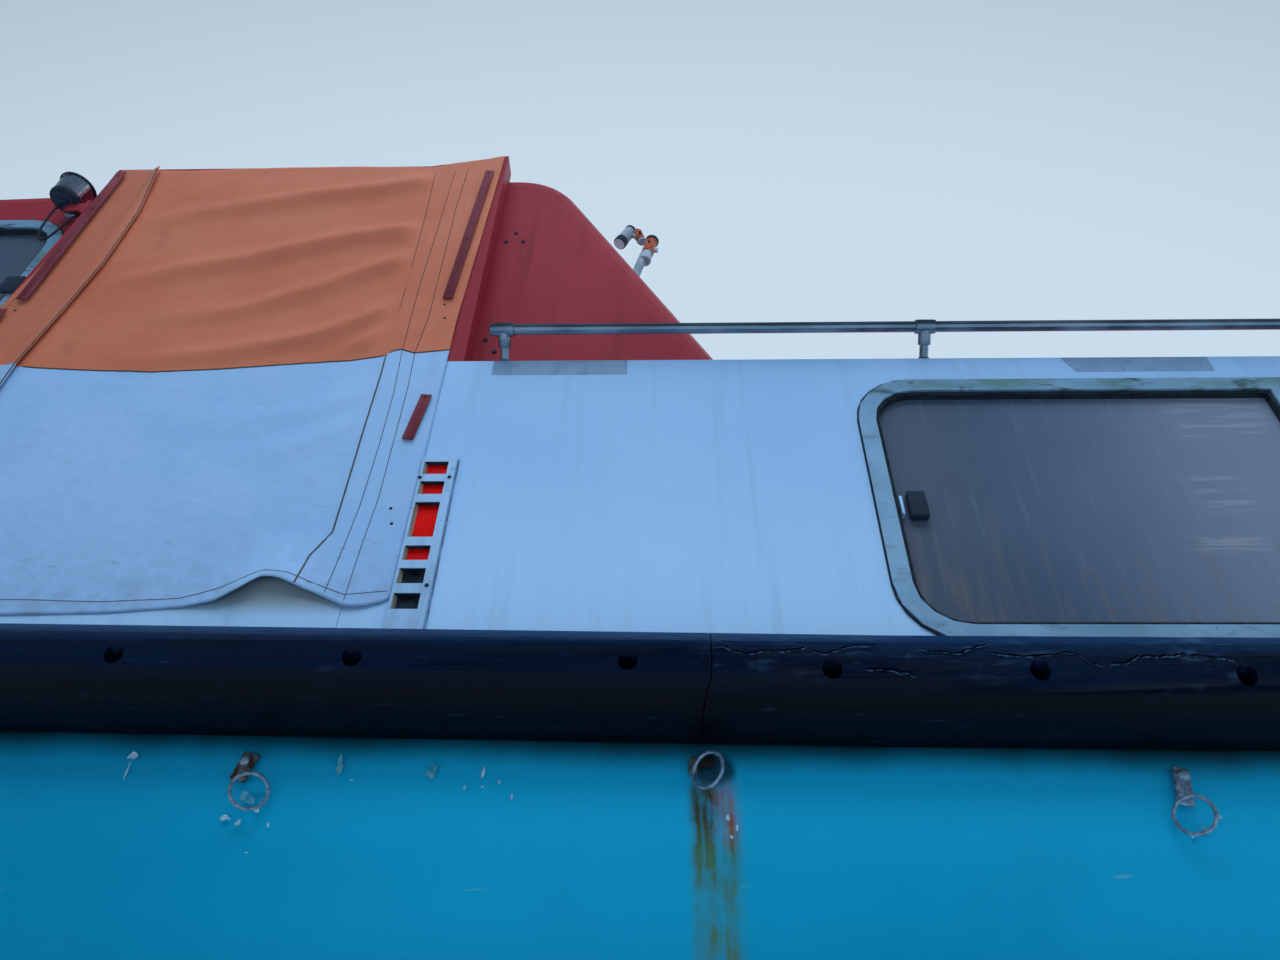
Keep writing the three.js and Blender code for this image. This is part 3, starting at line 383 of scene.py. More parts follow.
def bevelled(offset, segments, affect="EDGES"):
    bpy.ops.object.mode_set(mode="EDIT")
    bpy.ops.mesh.select_all(action="SELECT")
    bpy.ops.mesh.bevel(offset=offset, segments=segments, affect=affect)
    bpy.ops.object.mode_set(mode="OBJECT")


def thickened(depth):
    """Draws the active flat piece out along Y and turns its faces outward."""
    bpy.ops.object.mode_set(mode="EDIT")
    bpy.ops.mesh.select_all(action="SELECT")
    bpy.ops.mesh.extrude_region_move(TRANSFORM_OT_translate={"value": (0, depth, 0)})
    bpy.ops.mesh.select_all(action="SELECT")
    bpy.ops.mesh.normals_make_consistent(inside=False)
    bpy.ops.object.mode_set(mode="OBJECT")


def modified(kind, **settings):
    """Adds a modifier to the active piece and applies it."""
    added = bpy.context.object.modifiers.new("shaper", kind)
    for key, value in settings.items():
        setattr(added, key, value)
    bpy.ops.object.modifier_apply(modifier="shaper")


def dome(at, radius, flatness, material, sides=10, rows=6):
    """The head of a screw or a nail: a ball pressed flat along Y."""
    bpy.ops.mesh.primitive_uv_sphere_add(segments=sides, ring_count=rows, radius=radius, location=at)
    bpy.context.object.scale = (1, flatness, 1)
    settle(material)


def chips(spots, name, material):
    """Flakes on the hull, each from its x, z, width and height."""
    for x, z, wide, high in spots:
        bpy.ops.mesh.primitive_circle_add(vertices=14, radius=0.5, fill_type="NGON",
            location=(x, hull_side(z) - 0.0006, z), rotation=UPRIGHT)
        for v in sized(wide, high, 1).data.vertices:
            push = 0.62 + 0.75 * noise.noise(v.co * 90 + Vector((x * 31, 0, z * 17)))
            v.co.x = x + (v.co.x - x) * push
            v.co.z = z + (v.co.z - z) * push
        thickened(-0.0006)
        settle(material)
    gathered(name)


chips(((-0.305, 0.716, 0.022, 0.02), (-0.303, 0.69, 0.005, 0.05), (-0.124, 0.617, 0.024, 0.018),
    (-0.103, 0.61, 0.014, 0.012), (-0.081, 0.629, 0.01, 0.018), (-0.056, 0.606, 0.006, 0.01),
    (-0.077, 0.565, 0.007, 0.006), (0.055, 0.678, 0.008, 0.006), (0.258, 0.692, 0.006, 0.022),
    (0.232, 0.666, 0.005, 0.014), (0.284, 0.675, 0.005, 0.014), (0.306, 0.653, 0.005, 0.016),
    (0.258, 0.668, 0.01, 0.004), (0.634, 0.622, 0.009, 0.01), (0.646, 0.607, 0.007, 0.016),
    (0.638, 0.592, 0.006, 0.016), (1.311, 0.6, 0.016, 0.014), (1.359, 0.628, 0.006, 0.016)),
    "bare_places_starboard", filler)
thin_filler = finish("thin_smeared_filler", Roughness=0.6, IOR=1.5)
coat(blended(between(pattern(60, detail=5), 0.35, 0.65), "#1fa0bd", "#7fc0cc"))
chips(((0.032, 0.7, 0.016, 0.046), (0.178, 0.692, 0.022, 0.036), (-0.1, 0.648, 0.03, 0.03),
    (1.33, 0.61, 0.03, 0.012)), "smeared_filler_starboard", thin_filler)

# Lifeline rings. A galvanised ring of 6 mm rod hangs in a folded strap that one bolt holds to the hull,
# every 710 mm along the straight of the side. The zinc has dulled, and the straps bleed rust.
zinc = finish("galvanised_steel", Metallic=0.7)
dull = between(pattern(120, detail=5), 0.35, 0.65)
mottled(dull, "#7b90a3", "#aec2d3", 0.34, 0.55, dull, 0.0003)
strapped = finish("rusty_strap_steel", Metallic=0.6)
scale = between(pattern(80, detail=6), 0.42, 0.58)
mottled(scale, "#7f7d7a", "#4f3527", 0.45, 0.8, scale, 0.0006)
black_iron = finish("blackened_iron", Metallic=0.5)
coat(blended(pattern(200, detail=4), "#0c0d0f", "#2c231c"), between(pattern(90), 0.3, 0.7, 0.55, 0.8))
RING_Z, RING_PITCH, AFTMOST_RING, RING_RADIUS, ROD = 0.621, 0.7095, 3.646, 0.028, 0.003
# Each ring: its centre's x and z and its turn; its strap's x, z, width, height and lean; its bolt's x, z and
# radius. The three beside the door lie as the photograph shows them.
HUNG = {5: ((-0.091, 0.65, 0.54), (-0.117, 0.697, 0.026, 0.048, 0.25), (-0.119, 0.707, 0.0085)),
    6: ((0.605, 0.686, -0.68), (0.584, 0.702, 0.014, 0.03, 0.1), (0.604, 0.708, 0.014)),
    7: ((1.311, 0.62, -0.62), (1.3205, 0.672, 0.025, 0.062, 0.22), (1.326, 0.689, 0.0095))}
rings = []
for i in range(10):
    x = RING_PITCH * i - AFTMOST_RING
    hang = ((x, RING_Z, 0.5 * sin(i * 2.3)), (x, RING_Z + 0.052, 0.025, 0.062, 0.0),
        (x, RING_Z + 0.069, 0.0095))
    (x, z, turn), (strap_x, strap_z, wide, high, lean), (bolt_x, bolt_z, head) = HUNG.get(i, hang)
    bpy.ops.mesh.primitive_torus_add(major_radius=RING_RADIUS, minor_radius=ROD, major_segments=36,
        minor_segments=10, location=(x, hull_side(z) - 0.0035 - RING_RADIUS * abs(sin(turn)) - ROD, z),
        rotation=(radians(90), 0, turn))
    rings.append(settle(zinc))
    bpy.ops.mesh.primitive_cube_add(size=1, location=(strap_x, hull_side(strap_z) - 0.0045, strap_z),
        rotation=(0, lean, 0))
    sized(wide, 0.006, high)
    bevelled(0.0028, 3)
    settle(strapped if i in (5, 6) else zinc)
    dome((bolt_x, hull_side(bolt_z) - 0.0075, bolt_z), head, 0.5, black_iron if i == 6 else zinc, 14, 8)
both("lifeline_rings", rings)
both("lifeline_straps")


def eased(value, low, high):
    share = min(max((value - low) / (high - low), 0.0), 1.0)
    return share * share * (3 - 2 * share)


def along(table, at, key=0):
    """Reads a table of (x, z) points at a value of its key column, straight from point to point."""
    rows = sorted(table, key=lambda row: row[key])
    if at <= rows[0][key]:
        return rows[0][1 - key]
    for first, second in zip(rows, rows[1:]):
        if at <= second[key]:
            share = (at - first[key]) / (second[key] - first[key])
            return first[1 - key] + share * (second[1 - key] - first[1 - key])
    return rows[-1][1 - key]


# Rubber belt. Black extruded rubber, bolted through from its face: each bolt sits deep in a round hole.
# Sun has split the older lengths along their top, and the skin is scuffed grey.
rubber = finish("extruded_rubber", IOR=1.52, Specular_IOR_Level=0.13)
lengthwise = (0.16, 1, 1)
bloom = between(pattern(14, lengthwise, detail=5), 0.35, 0.75)
height = beside_belt()
# The belt's top is painted lighter as a sheen of reflected sky, and its lower part near black as painted
# shade.
skin_sheen_and_shade = layered(blended(bloom, "#000d24", "#031c36"),
    (between(height, 0.838, 0.9), "#013258"),
    (between(height, 0.77, 0.815, 1.0, 0.0), "#00040f"),
    (between(pattern(75, (0.3, 1, 1), detail=6), 0.62, 0.72, 0.0, 0.35), "#24384e"))
# Two scuffed places on the old length, where something has rubbed beside the fourth and fifth bolts.
spot = place()
rubbed = product(between(spot[0], 1.3, 1.345), between(spot[0], 1.395, 1.42, 1.0, 0.0))
rubbed = product(rubbed, between(pattern(30, (0.5, 1, 1.4), detail=6, warp=0.6), 0.48, 0.66))
skin_sheen_and_shade = blended(product(rubbed, 0.35, between(height, 0.78, 0.815)), skin_sheen_and_shade, "#4f6c88")
# The older length forward of the butt has a wrinkled, grazed upper half.
older = product(between(spot[0], 0.602, 0.616), between(height, 0.775, 0.835))
grazed = between(pattern(38, (0.35, 1, 1.2), detail=7, warp=0.8), 0.56, 0.7)
skin_sheen_and_shade = blended(product(older, grazed, 0.45), skin_sheen_and_shade, "#2f4a66")
coat(skin_sheen_and_shade, between(bloom, 0, 1, 0.36, 0.55))
crazed = product(between(pattern(60, (0.25, 1, 1), detail=6), 0.4, 0.7), 0.5)
wrinkles = product(pattern(26, (0.35, 1, 1), detail=6, warp=0.6), older, 2.6)
raised(maths("ADD", maths("ADD", crazed, wrinkles), product(pattern(160, detail=4), 0.12)), 0.0018)
HOLE_RADIUS, HOLE_PITCH = 0.0155, 0.32
HOLE_LINE = ((-4.0, 0.842), (-1.2, 0.834), (-0.323, 0.824), (0.054, 0.819), (0.483, 0.813), (0.794, 0.8),
    (1.107, 0.798), (1.412, 0.791), (2.8, 0.788))
# The six holes of the photograph, then more at an even pitch to both ends of the straight.
hole_places = [-0.323, 0.054, 0.483, 0.794, 1.107, 1.412]
hole_places += [hole_places[-1] + HOLE_PITCH * i for i in range(1, 5)] + [
    hole_places[0] - HOLE_PITCH * i for i in range(1, 12)]
BELT_NOSE = -1.8
# The splits along the top of the old length beside the door: points of each, x and z. They gape by a few
# millimetres and run out at both ends.
SPLITS = (
    ((0.616, 0.84), (0.633, 0.838), (0.645, 0.83), (0.664, 0.825), (0.695, 0.832), (0.722, 0.83),
     (0.745, 0.834), (0.759, 0.841)),
    ((0.767, 0.831), (0.787, 0.825), (0.811, 0.835), (0.835, 0.842), (0.874, 0.843)),
    ((0.93, 0.837), (0.952, 0.83), (0.986, 0.826), (1.011, 0.835), (1.04, 0.847)),
    ((1.036, 0.828), (1.061, 0.824), (1.095, 0.822), (1.137, 0.824), (1.152, 0.829), (1.173, 0.823),
     (1.184, 0.81), (1.203, 0.806)),
    ((1.213, 0.809), (1.237, 0.809), (1.252, 0.818), (1.27, 0.823), (1.293, 0.821), (1.313, 0.822),
     (1.33, 0.828), (1.338, 0.823), (1.365, 0.821), (1.389, 0.819), (1.409, 0.812)),
    ((0.844, 0.8), (0.874, 0.799), (0.904, 0.795), (0.918, 0.79)))
BELT_FLAT, BELT_ROUND, BELT_Z, BUTT_X = 1.72, 0.08, 0.831, 0.59


def belt_face(x, z):
    """How far out the belt's round face is at a height."""
    off = z - (BELT_Z - BELT_LEAN * sin(pi * x / BELT_LEAN_REACH))
    return BELT_FLAT + max(BELT_ROUND ** 2 - off * off, 0.0) ** 0.5


def jagged(points):
    """A split's points with two more between each pair, thrown off the line by a few millimetres."""
    broken = [points[0]]
    for (x0, z0), (x1, z1) in zip(points, points[1:]):
        for share in (0.36, 0.7, 1.0):
            x, z = x0 + share * (x1 - x0), z0 + share * (z1 - z0)
            broken.append((x, z + 0.005 * noise.noise(Vector((x * 160, z * 160, 5.0))) * (share < 1)))
    return broken


def split_lip(points, way):
    """The torn lower lip of a split: a ragged pale ribbon 0.8 mm thick that stands off the belt's face."""
    bpy.ops.mesh.primitive_grid_add(x_subdivisions=len(points) - 1, y_subdivisions=1, size=1)
    lip = bpy.context.object
    for v in lip.data.vertices:
        i = round((v.co.x + 0.5) * (len(points) - 1))
        x, z = points[i]
        wide = 0.0012 + 0.003 * max(noise.noise(Vector((x * 70, 2.0, z * 70))) + 0.35, 0.0)
        z -= 0.0024 + (0.5 - v.co.y) * wide
        v.co = (x, way * -(belt_face(x, z) + 0.0004), z)
    modified("SOLIDIFY", thickness=0.0008, offset=0)
    settle(torn_rubber)


def split_cutter(points, way):
    """A thin wedge along a split, which cuts it 7 mm into the belt."""
    bpy.ops.mesh.primitive_grid_add(x_subdivisions=len(points) - 1, y_subdivisions=1, size=1)
    cutter = bpy.context.object
    for v in cutter.data.vertices:
        i = round((v.co.x + 0.5) * (len(points) - 1))
        x, z = points[i]
        gape = 0.0008 if i in (0, len(points) - 1) else 0.0042 + 0.0016 * sin(i * 2.1)
        v.co = (x, way * -(belt_face(x, z) + 0.006), z + v.co.y * gape)
    thickened(way * 0.013)
    return cutter


torn_rubber = finish("torn_rubber", IOR=1.52, Specular_IOR_Level=0.1, Roughness=0.8)
coat(blended(between(pattern(120, detail=5), 0.4, 0.62), "#0a1726", "#3a5068"))
steel_bolt = finish("blackened_bolt_steel", Metallic=0.8, Roughness=0.6, Base_Color="#1b1d20")
raised(pattern(300, detail=3), 0.0004)
for length, low, high in (("aft", -9.0, BUTT_X), ("fore", BUTT_X, 9.0)):
    for side_name, way in (("starboard", 1), ("port", -1)):
        node = f"belt_{length}_{side_name}"
        solid = copied(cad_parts[node], f"bolted_{node}")
        activate(solid)
        bpy.ops.object.mode_set(mode="EDIT")
        bpy.ops.mesh.select_all(action="SELECT")
        bpy.ops.mesh.remove_doubles(threshold=0.00002)
        bpy.ops.mesh.normals_make_consistent(inside=False)
        bpy.ops.object.mode_set(mode="OBJECT")
        for v in solid.data.vertices:
            # The butt between the lengths runs down and aft from 22 mm forward of where the solids meet.
            if abs(v.co.x - BUTT_X) < 0.003:
                v.co.x += 0.022 - 0.015 * eased(0.8 - v.co.z, 0.0, 0.06)
        drills = []
        for x in [x for x in hole_places if low < x < high]:
            at = Vector((x, way * BELT_NOSE, along(HOLE_LINE, x)))
            bpy.ops.mesh.primitive_cylinder_add(vertices=20, radius=HOLE_RADIUS, depth=0.12,
                rotation=UPRIGHT, location=at - Vector((0, way * 0.01, 0)))
            drills.append(bpy.context.object)
            bpy.ops.mesh.primitive_cylinder_add(vertices=6, radius=0.0125, depth=0.008, rotation=UPRIGHT,
                location=at + Vector((0, way * 0.046, 0)))
            settle(steel_bolt)
        gathered(f"belt_bolts_{length}_{side_name}")
        if length == "fore":
            for points in SPLITS:
                split_lip(jagged(points), way)
                drills.append(split_cutter(jagged(points), way))
            gathered(f"split_lips_{side_name}")
        drill = gathered("drill", pieces=drills)
        activate(solid)
        modified("BOOLEAN", object=drill, operation="DIFFERENCE", solver="EXACT")
        bpy.data.objects.remove(drill)
        settle(rubber, solid.name, smooth=28)
        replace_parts(solid, node)

# White cabin walls. Glass-fibre panels in white gelcoat, dulled by weather: rain has washed faint
# streaks of dirt down them.
white = finish("white_gelcoat", IOR=1.5, Specular_IOR_Level=0.4)
cloudy = between(pattern(1.6, detail=4), 0.35, 0.7)
wash = between(pattern(34, (1, 1, 0.04), detail=5), 0.48, 0.8)
spot = place()
paint = layered(blended(cloudy, "#9cc5ea", "#a9cdef"),
    (between(spot[2], 0.95, 1.5, 0.9, 0.0), "#b7dcfa"), (product(wash, 0.28), "#84a5c2"))
# Behind the lifted hem of the side curtain the sill is painted buff as the hem's shadow.
dust_and_shadow = product(between(spot[0], -0.5, -0.3), between(spot[0], -0.08, 0.02, 1.0, 0.0))
dust_and_shadow = product(dust_and_shadow, between(spot[2], 0.985, 1.035))
paint = blended(product(dust_and_shadow, 0.8), paint, "#8f9183")
coat(paint, between(cloudy, 0, 1, 0.34, 0.46), pattern(22, detail=2), 0.0005)
dress(white, "fore_cabin", "aft_cabin", "aft_door", "side_starboard", "side_port")

# Red mouldings: the wheelhouse, its door surrounds, the roofs and the hatches. The red gelcoat has faded
# to pink where the sun reaches it and holds a darker run of dirt here and there.
red = finish("red_gelcoat", IOR=1.5, Specular_IOR_Level=0.28)
faded = between(pattern(2.2, detail=5), 0.35, 0.7)
runs = between(pattern(26, (1, 1, 0.05), detail=5), 0.5, 0.8)
paint = blended(faded, "#9c2a33", "#a53640")
paint = blended(product(runs, 0.45), paint, "#6d1f28")
coat(paint, between(faded, 0, 1, 0.4, 0.55), pattern(24, detail=2), 0.0005)
dress(red, "canopy", "door_surround_starboard", "door_surround_port", "fore_roof", "aft_roof", "fore_hatch",
    "roof_hatch")

# Side curtains. Coated canvas, white below and orange above, joined by one sewn seam. It is nailed along
# its top and its sides and hangs loose between, pulled into shallow folds that rise towards the fore edge.
CANVAS_Y = -1.6612
TOP_LINE = ((-1.098, 2.582), (-1.053, 2.584), (-0.847, 2.579), (-0.566, 2.592), (-0.33, 2.592),
    (-0.14, 2.582), (-0.077, 2.599), (0.0, 2.62), (0.075, 2.642))
SEAM_LINE = ((-1.1, 1.696), (-0.938, 1.689), (-0.803, 1.67), (-0.62, 1.655), (-0.462, 1.664), (-0.32, 1.68),
    (-0.177, 1.699), (-0.101, 1.721), (-0.085, 1.735), (-0.067, 1.74), (-0.035, 1.726), (0.045, 1.737))
HEM_LINE = ((-1.1, 0.993), (-0.656, 0.993), (-0.471, 0.997), (-0.336, 1.009), (-0.269, 1.019),
    (-0.229, 1.041), (-0.195, 1.066), (-0.165, 1.064), (-0.132, 1.051), (-0.08, 1.03), (-0.035, 1.01),
    (-0.006, 1.01), (0.027, 1.019), (0.045, 1.03))
AFT_EDGE = ((-1.051, 2.58), (-1.059, 2.271), (-1.078, 2.062), (-1.098, 1.912), (-1.104, 1.5), (-1.104, 0.99))
FORE_EDGE = ((0.045, 0.99), (0.045, 1.8), (0.075, 2.642))
FLAP_EDGE = ((-0.933, 2.568), (-0.906, 2.333), (-0.905, 2.088), (-0.924, 1.897), (-0.947, 1.691),
    (-0.944, 0.99))
FLAP_RIDGE = ((-0.936, 2.487), (-0.947, 2.192), (-0.966, 1.977), (-0.987, 1.81), (-1.007, 1.738),
    (-1.015, 1.1))
# Each fold as its height, its width and the points of its crest, x and z.
FOLDS = (
    (0.015, 0.04, ((-0.109, 2.505), (-0.272, 2.447), (-0.426, 2.407), (-0.568, 2.368), (-0.729, 2.338),
        (-0.895, 2.281))),
    (0.016, 0.038, ((-0.11, 2.247), (-0.304, 2.189), (-0.442, 2.131), (-0.538, 2.089), (-0.671, 2.063),
        (-0.783, 2.029), (-0.9, 1.994))),
    (0.014, 0.034, ((-0.112, 2.111), (-0.193, 2.063), (-0.318, 1.968), (-0.422, 1.91), (-0.528, 1.873),
        (-0.647, 1.856))),
    (0.012, 0.03, ((-0.107, 1.913), (-0.187, 1.844), (-0.272, 1.784), (-0.355, 1.755), (-0.48, 1.721),
        (-0.58, 1.708), (-0.682, 1.7))),
    (0.008, 0.024, ((-0.106, 1.825), (-0.155, 1.765), (-0.219, 1.719))),
    (0.003, 0.04, ((-0.1, 1.606), (-0.21, 1.534), (-0.339, 1.494), (-0.502, 1.485))),
    (0.003, 0.035, ((-0.129, 1.483), (-0.217, 1.425), (-0.335, 1.388))))
LIFT_X, LIFT_WIDTH, LIFT = -0.185, 0.085, 0.03
BAND_EDGE = -0.1
FOLD_LINE = ((-0.1, 1.723), (-0.098, 1.65), (-0.098, 1.434), (-0.097, 1.187), (-0.112, 1.158),
    (-0.125, 1.126), (-0.133, 1.055))


def off_crest(x, z, crest):
    """Distance to a crest, and how far along it the nearest point is, from 0 to 1."""
    best = (9.0, 0.0)
    for i, ((x0, z0), (x1, z1)) in enumerate(zip(crest, crest[1:])):
        run = ((x - x0) * (x1 - x0) + (z - z0) * (z1 - z0)) / ((x1 - x0) ** 2 + (z1 - z0) ** 2)
        t = min(max(run, 0.0), 1.0)
        away = ((x - x0 - t * (x1 - x0)) ** 2 + (z - z0 - t * (z1 - z0)) ** 2) ** 0.5
        best = min(best, (away, (i + t) / (len(crest) - 1)))
    return best


def standing_out(x, z):
    """How far the canvas stands off the wall."""
    out = 0.0
    for height, width, crest in FOLDS:
        away, share = off_crest(x, z, crest)
        if away < 3.5 * width:
            # A fold is steeper on its under side, and dies away towards its aft end.
            out += 1.3 * height * exp(-(away / width) ** 2) * (1 - 0.75 * eased(share, 0.35, 1.0))
    loose = eased(x, -0.93, -0.8) * (1 - eased(x, -0.16, -0.1))
    hung = eased(z, 1.0, 1.3) * (1 - eased(z, 2.4, 2.58))
    out *= loose
    out += 0.01 * loose * hung * sin(pi * (x + 0.93) / 0.83)
    out += LIFT * exp(-((x - LIFT_X) / LIFT_WIDTH) ** 2) * (1 - eased(z, 1.0, 1.2))
    out += 0.0026 * eased(x, BAND_EDGE - 0.004, BAND_EDGE + 0.004)
    out += (0.0016 * noise.noise(Vector((x * 9, 3.1, z * 7)))
        + 0.0006 * noise.noise(Vector((x * 45, 7.7, z * 38))))
    return max(out, 0.0) + 0.0004


def canvas_point(x, z, over=0.0):
    return Vector((x, CANVAS_Y - standing_out(x, z) - over, z))


WEAVE = 2 * pi / 0.0016


def canvas_cloth(name, light, dark, grime):
    """Coated canvas of a colour: a fine weave under the coating, soft creases and some grime."""
    made = finish(name, IOR=1.46, Sheen_Weight=0.04, Coat_Weight=0.12, Coat_Roughness=0.35)
    cloud = between(pattern(4.0, detail=5), 0.35, 0.7)
    spot = place()
    low = product(between(spot[2], 0.99, 1.22, 1.0, 0.0), between(pattern(24, detail=6), 0.42, 0.66))
    rubs = between(pattern(60, (0.4, 1, 1.2), detail=6, warp=0.5), 0.64, 0.7)
    # The last layer darkens the doubled strip at the aft edge.
    colour = layered(blended(cloud, light, dark),
        (between(pattern(16, (1, 1, 0.35), detail=6), 0.56, 0.8, 0.0, 0.5), grime),
        (product(low, 0.28), "#7b8f96"),
        (product(rubs, between(spot[2], 1.1, 1.5, 0.3, 0.1)), "#6b8090"),
        (between(spot[0], -0.95, -0.915, 0.45, 0.0), grime))
    coat(colour, between(cloud, 0, 1, 0.42, 0.54))
    threads = maths("SINE", product(spot[0], WEAVE), 0)
    picks = maths("SINE", product(spot[2], WEAVE), 0)
    cloth = product(threads, picks, 0.08)
    raised(maths("ADD", cloth, pattern(40, detail=5)), 0.0012)
    return made


white_canvas = canvas_cloth("white_coated_canvas", "#a9cbed", "#a0c5ea", "#93b5d2")
orange_canvas = canvas_cloth("orange_coated_canvas", "#dc7b56", "#d4714e", "#bf6446")
WHITE_ROWS, ORANGE_ROWS = 84, 112


def canvas_sheet(name, fore_edge, columns, off):
    """A grid shaped to the canvas: hem to seam is white, seam to top is orange."""
    rows = WHITE_ROWS + ORANGE_ROWS
    bpy.ops.mesh.primitive_grid_add(x_subdivisions=columns, y_subdivisions=rows, size=1)
    piece = bpy.context.object
    for v in piece.data.vertices:
        across, rise = v.co.x + 0.5, (v.co.y + 0.5) * rows
        white_part = rise <= WHITE_ROWS
        share = rise / WHITE_ROWS if white_part else (rise - WHITE_ROWS) / ORANGE_ROWS
        level = 1.0 + 0.69 * share if white_part else 1.69 + 0.89 * share
        aft_x, fore_x = along(AFT_EDGE, level, 1), along(fore_edge, level, 1)
        x = aft_x + across * (fore_x - aft_x)
        foot, head = (HEM_LINE, SEAM_LINE) if white_part else (SEAM_LINE, TOP_LINE)
        z = along(foot, x) + share * (along(head, x) - along(foot, x))
        v.co = canvas_point(x, z, off(x, z, across))
    piece.data.materials.append(white_canvas)
    piece.data.materials.append(orange_canvas)
    for face in piece.data.polygons:
        middle = face.center
        face.material_index = int(middle.z > along(SEAM_LINE, middle.x))
    modified("SOLIDIFY", thickness=0.0011, offset=-1)
    piece.name = name
    bpy.ops.object.shade_smooth()
    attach(piece, "boat")
    piece.select_set(False)
    return piece


def flap_off(x, z, across):
    """The doubled strip at the aft edge: a soft ridge along it, and its free edge lifts off the canvas."""
    ridge = 0.005 * exp(-((x - along(FLAP_RIDGE, z, 1)) / 0.016) ** 2)
    return 0.0016 + ridge * eased(across, 0.0, 0.2) + 0.008 * eased(across, 0.7, 1.0)


canvas = canvas_sheet("side_curtain_starboard", FORE_EDGE, 128, lambda x, z, across: 0.0)
flap = canvas_sheet("curtain_flap_starboard", FLAP_EDGE, 22, flap_off)
twin_canvas = mirrored(canvas, "side_curtain_port")
twin_flap = mirrored(flap, "curtain_flap_port")
for piece, node in ((canvas, "curtain_starboard"), (twin_canvas, "curtain_port")):
    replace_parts(piece, node)

# Stitching. Doubled brown thread, drawn as a flat cord 1.4 mm wide that lies on the canvas. Where the canvas
# is folded over beside the opening, and along the free edge of the doubled strip, a brown line shows the cut
# edge with painted shadow along it.
thread = finish("waxed_brown_thread", Roughness=0.8)
knots = between(pattern(400, detail=1), 0.4, 0.6)
coat(blended(knots, "#37292a", "#62524e"))
edge_and_shadow = finish("canvas_edge_and_shadow", Roughness=0.85)
frays = between(pattern(260, detail=4), 0.35, 0.65)
coat(blended(frays, "#3d3a36", "#6c6a62"))


LINE_STEP = 0.012


def flat(x, z):
    return 0.0


def on_flap(x, z):
    aft, fore = along(AFT_EDGE, z, 1), along(FLAP_EDGE, z, 1)
    return flap_off(x, z, (x - aft) / (fore - aft)) if x < fore else 0.0


def laid_line(points, width, over=flat, material=thread, lift=0.0004):
    """A strip that follows the canvas through points: a row of small faces, one about every 12 mm."""
    path = []
    for (x0, z0), (x1, z1) in zip(points, points[1:]):
        steps = max(int(((x1 - x0) ** 2 + (z1 - z0) ** 2) ** 0.5 / LINE_STEP), 1)
        path += [(x0 + (x1 - x0) * i / steps, z0 + (z1 - z0) * i / steps) for i in range(steps)]
    path.append(points[-1])
    bpy.ops.mesh.primitive_grid_add(x_subdivisions=len(path) - 1, y_subdivisions=1, size=1)
    strip = bpy.context.object
    for v in strip.data.vertices:
        i = round((v.co.x + 0.5) * (len(path) - 1))
        x, z = path[i]
        x0, z0 = path[max(i - 1, 0)]
        x1, z1 = path[min(i + 1, len(path) - 1)]
        run = ((x1 - x0) ** 2 + (z1 - z0) ** 2) ** 0.5
        side = v.co.y * width
        v.co = canvas_point(x - (z1 - z0) / run * side, z + (x1 - x0) / run * side, over(x, z) + lift)
    modified("SOLIDIFY", thickness=0.0006, offset=-1)
    settle(material, smooth=60)


UPPER_SEAMS = (
    ((-0.119, 2.541), (-0.11, 2.318), (-0.103, 2.02), (-0.101, 1.837), (-0.103, 1.731)),
    ((-0.062, 2.558), (-0.064, 2.334), (-0.068, 2.047), (-0.067, 1.861), (-0.065, 1.736)),
    ((-0.026, 2.567), (-0.031, 2.349), (-0.027, 2.074), (-0.024, 1.861), (-0.034, 1.731)),
    ((-0.065, 1.736), (-0.056, 1.585), (-0.055, 1.424), (-0.059, 1.254), (-0.067, 1.149), (-0.076, 1.037)),
    ((-0.034, 1.731), (-0.028, 1.606), (-0.027, 1.453), (-0.026, 1.28), (-0.033, 1.165), (-0.038, 1.023)))
HEM_STITCH = ((-0.93, 1.03), (-0.672, 1.028), (-0.481, 1.023), (-0.343, 1.03), (-0.267, 1.048),
    (-0.236, 1.062), (-0.195, 1.082), (-0.15, 1.078), (-0.1, 1.058), (-0.04, 1.036), (0.038, 1.046))
FLAP_STITCH = ((-1.035, 2.56), (-1.043, 2.271), (-1.062, 2.062), (-1.08, 1.912), (-1.088, 1.5),
    (-1.088, 1.01))
for points in UPPER_SEAMS + (HEM_STITCH,):
    laid_line(points, 0.0014)
laid_line(SEAM_LINE[1:], 0.0045, on_flap)
laid_line(FLAP_STITCH, 0.0012, on_flap)
# Brown lines at the folded edge and at the strip's free edge: cut edge and painted shadow.
laid_line(FOLD_LINE, 0.0034, flat, edge_and_shadow, 0.0008)
laid_line([(x - 0.004, z) for x, z in FLAP_EDGE], 0.0036, on_flap, edge_and_shadow, 0.0006)
both("curtain_stitching")

# Battens. Strips of thin red-painted wood nailed through the canvas along its edges, with one short
# piece that has swung loose on its single nail.
batten_paint = finish("worn_red_batten_paint", IOR=1.5)
worn = between(pattern(30, (1, 1, 0.15), detail=6), 0.4, 0.72)
mottled(worn, "#74262f", "#8b4148", 0.45, 0.65, pattern(60, (1, 1, 0.1), detail=4), 0.0006)
nail_steel = finish("dull_nail_steel", Metallic=0.9, Roughness=0.5)
coat(blended(pattern(500), "#2b2726", "#6c6a68"))


def batten(foot, head, width, nails, over=0.004):
    """A flat strip between two points on the canvas, 4 mm thick, with a rounded edge and its nails."""
    (x0, z0), (x1, z1) = foot, head
    length, lean = ((x1 - x0) ** 2 + (z1 - z0) ** 2) ** 0.5, atan2(x1 - x0, z1 - z0)
    y = CANVAS_Y - 0.004 - over
    bpy.ops.mesh.primitive_cube_add(size=1, location=((x0 + x1) / 2, y, (z0 + z1) / 2), rotation=(0, lean, 0))
    sized(width, 0.004, length)
    bevelled(0.0009, 2)
    settle(batten_paint)
    for share in nails:
        dome((x0 + share * (x1 - x0), y - 0.0018, z0 + share * (z1 - z0)), 0.0036, 0.45, nail_steel, 12, 8)


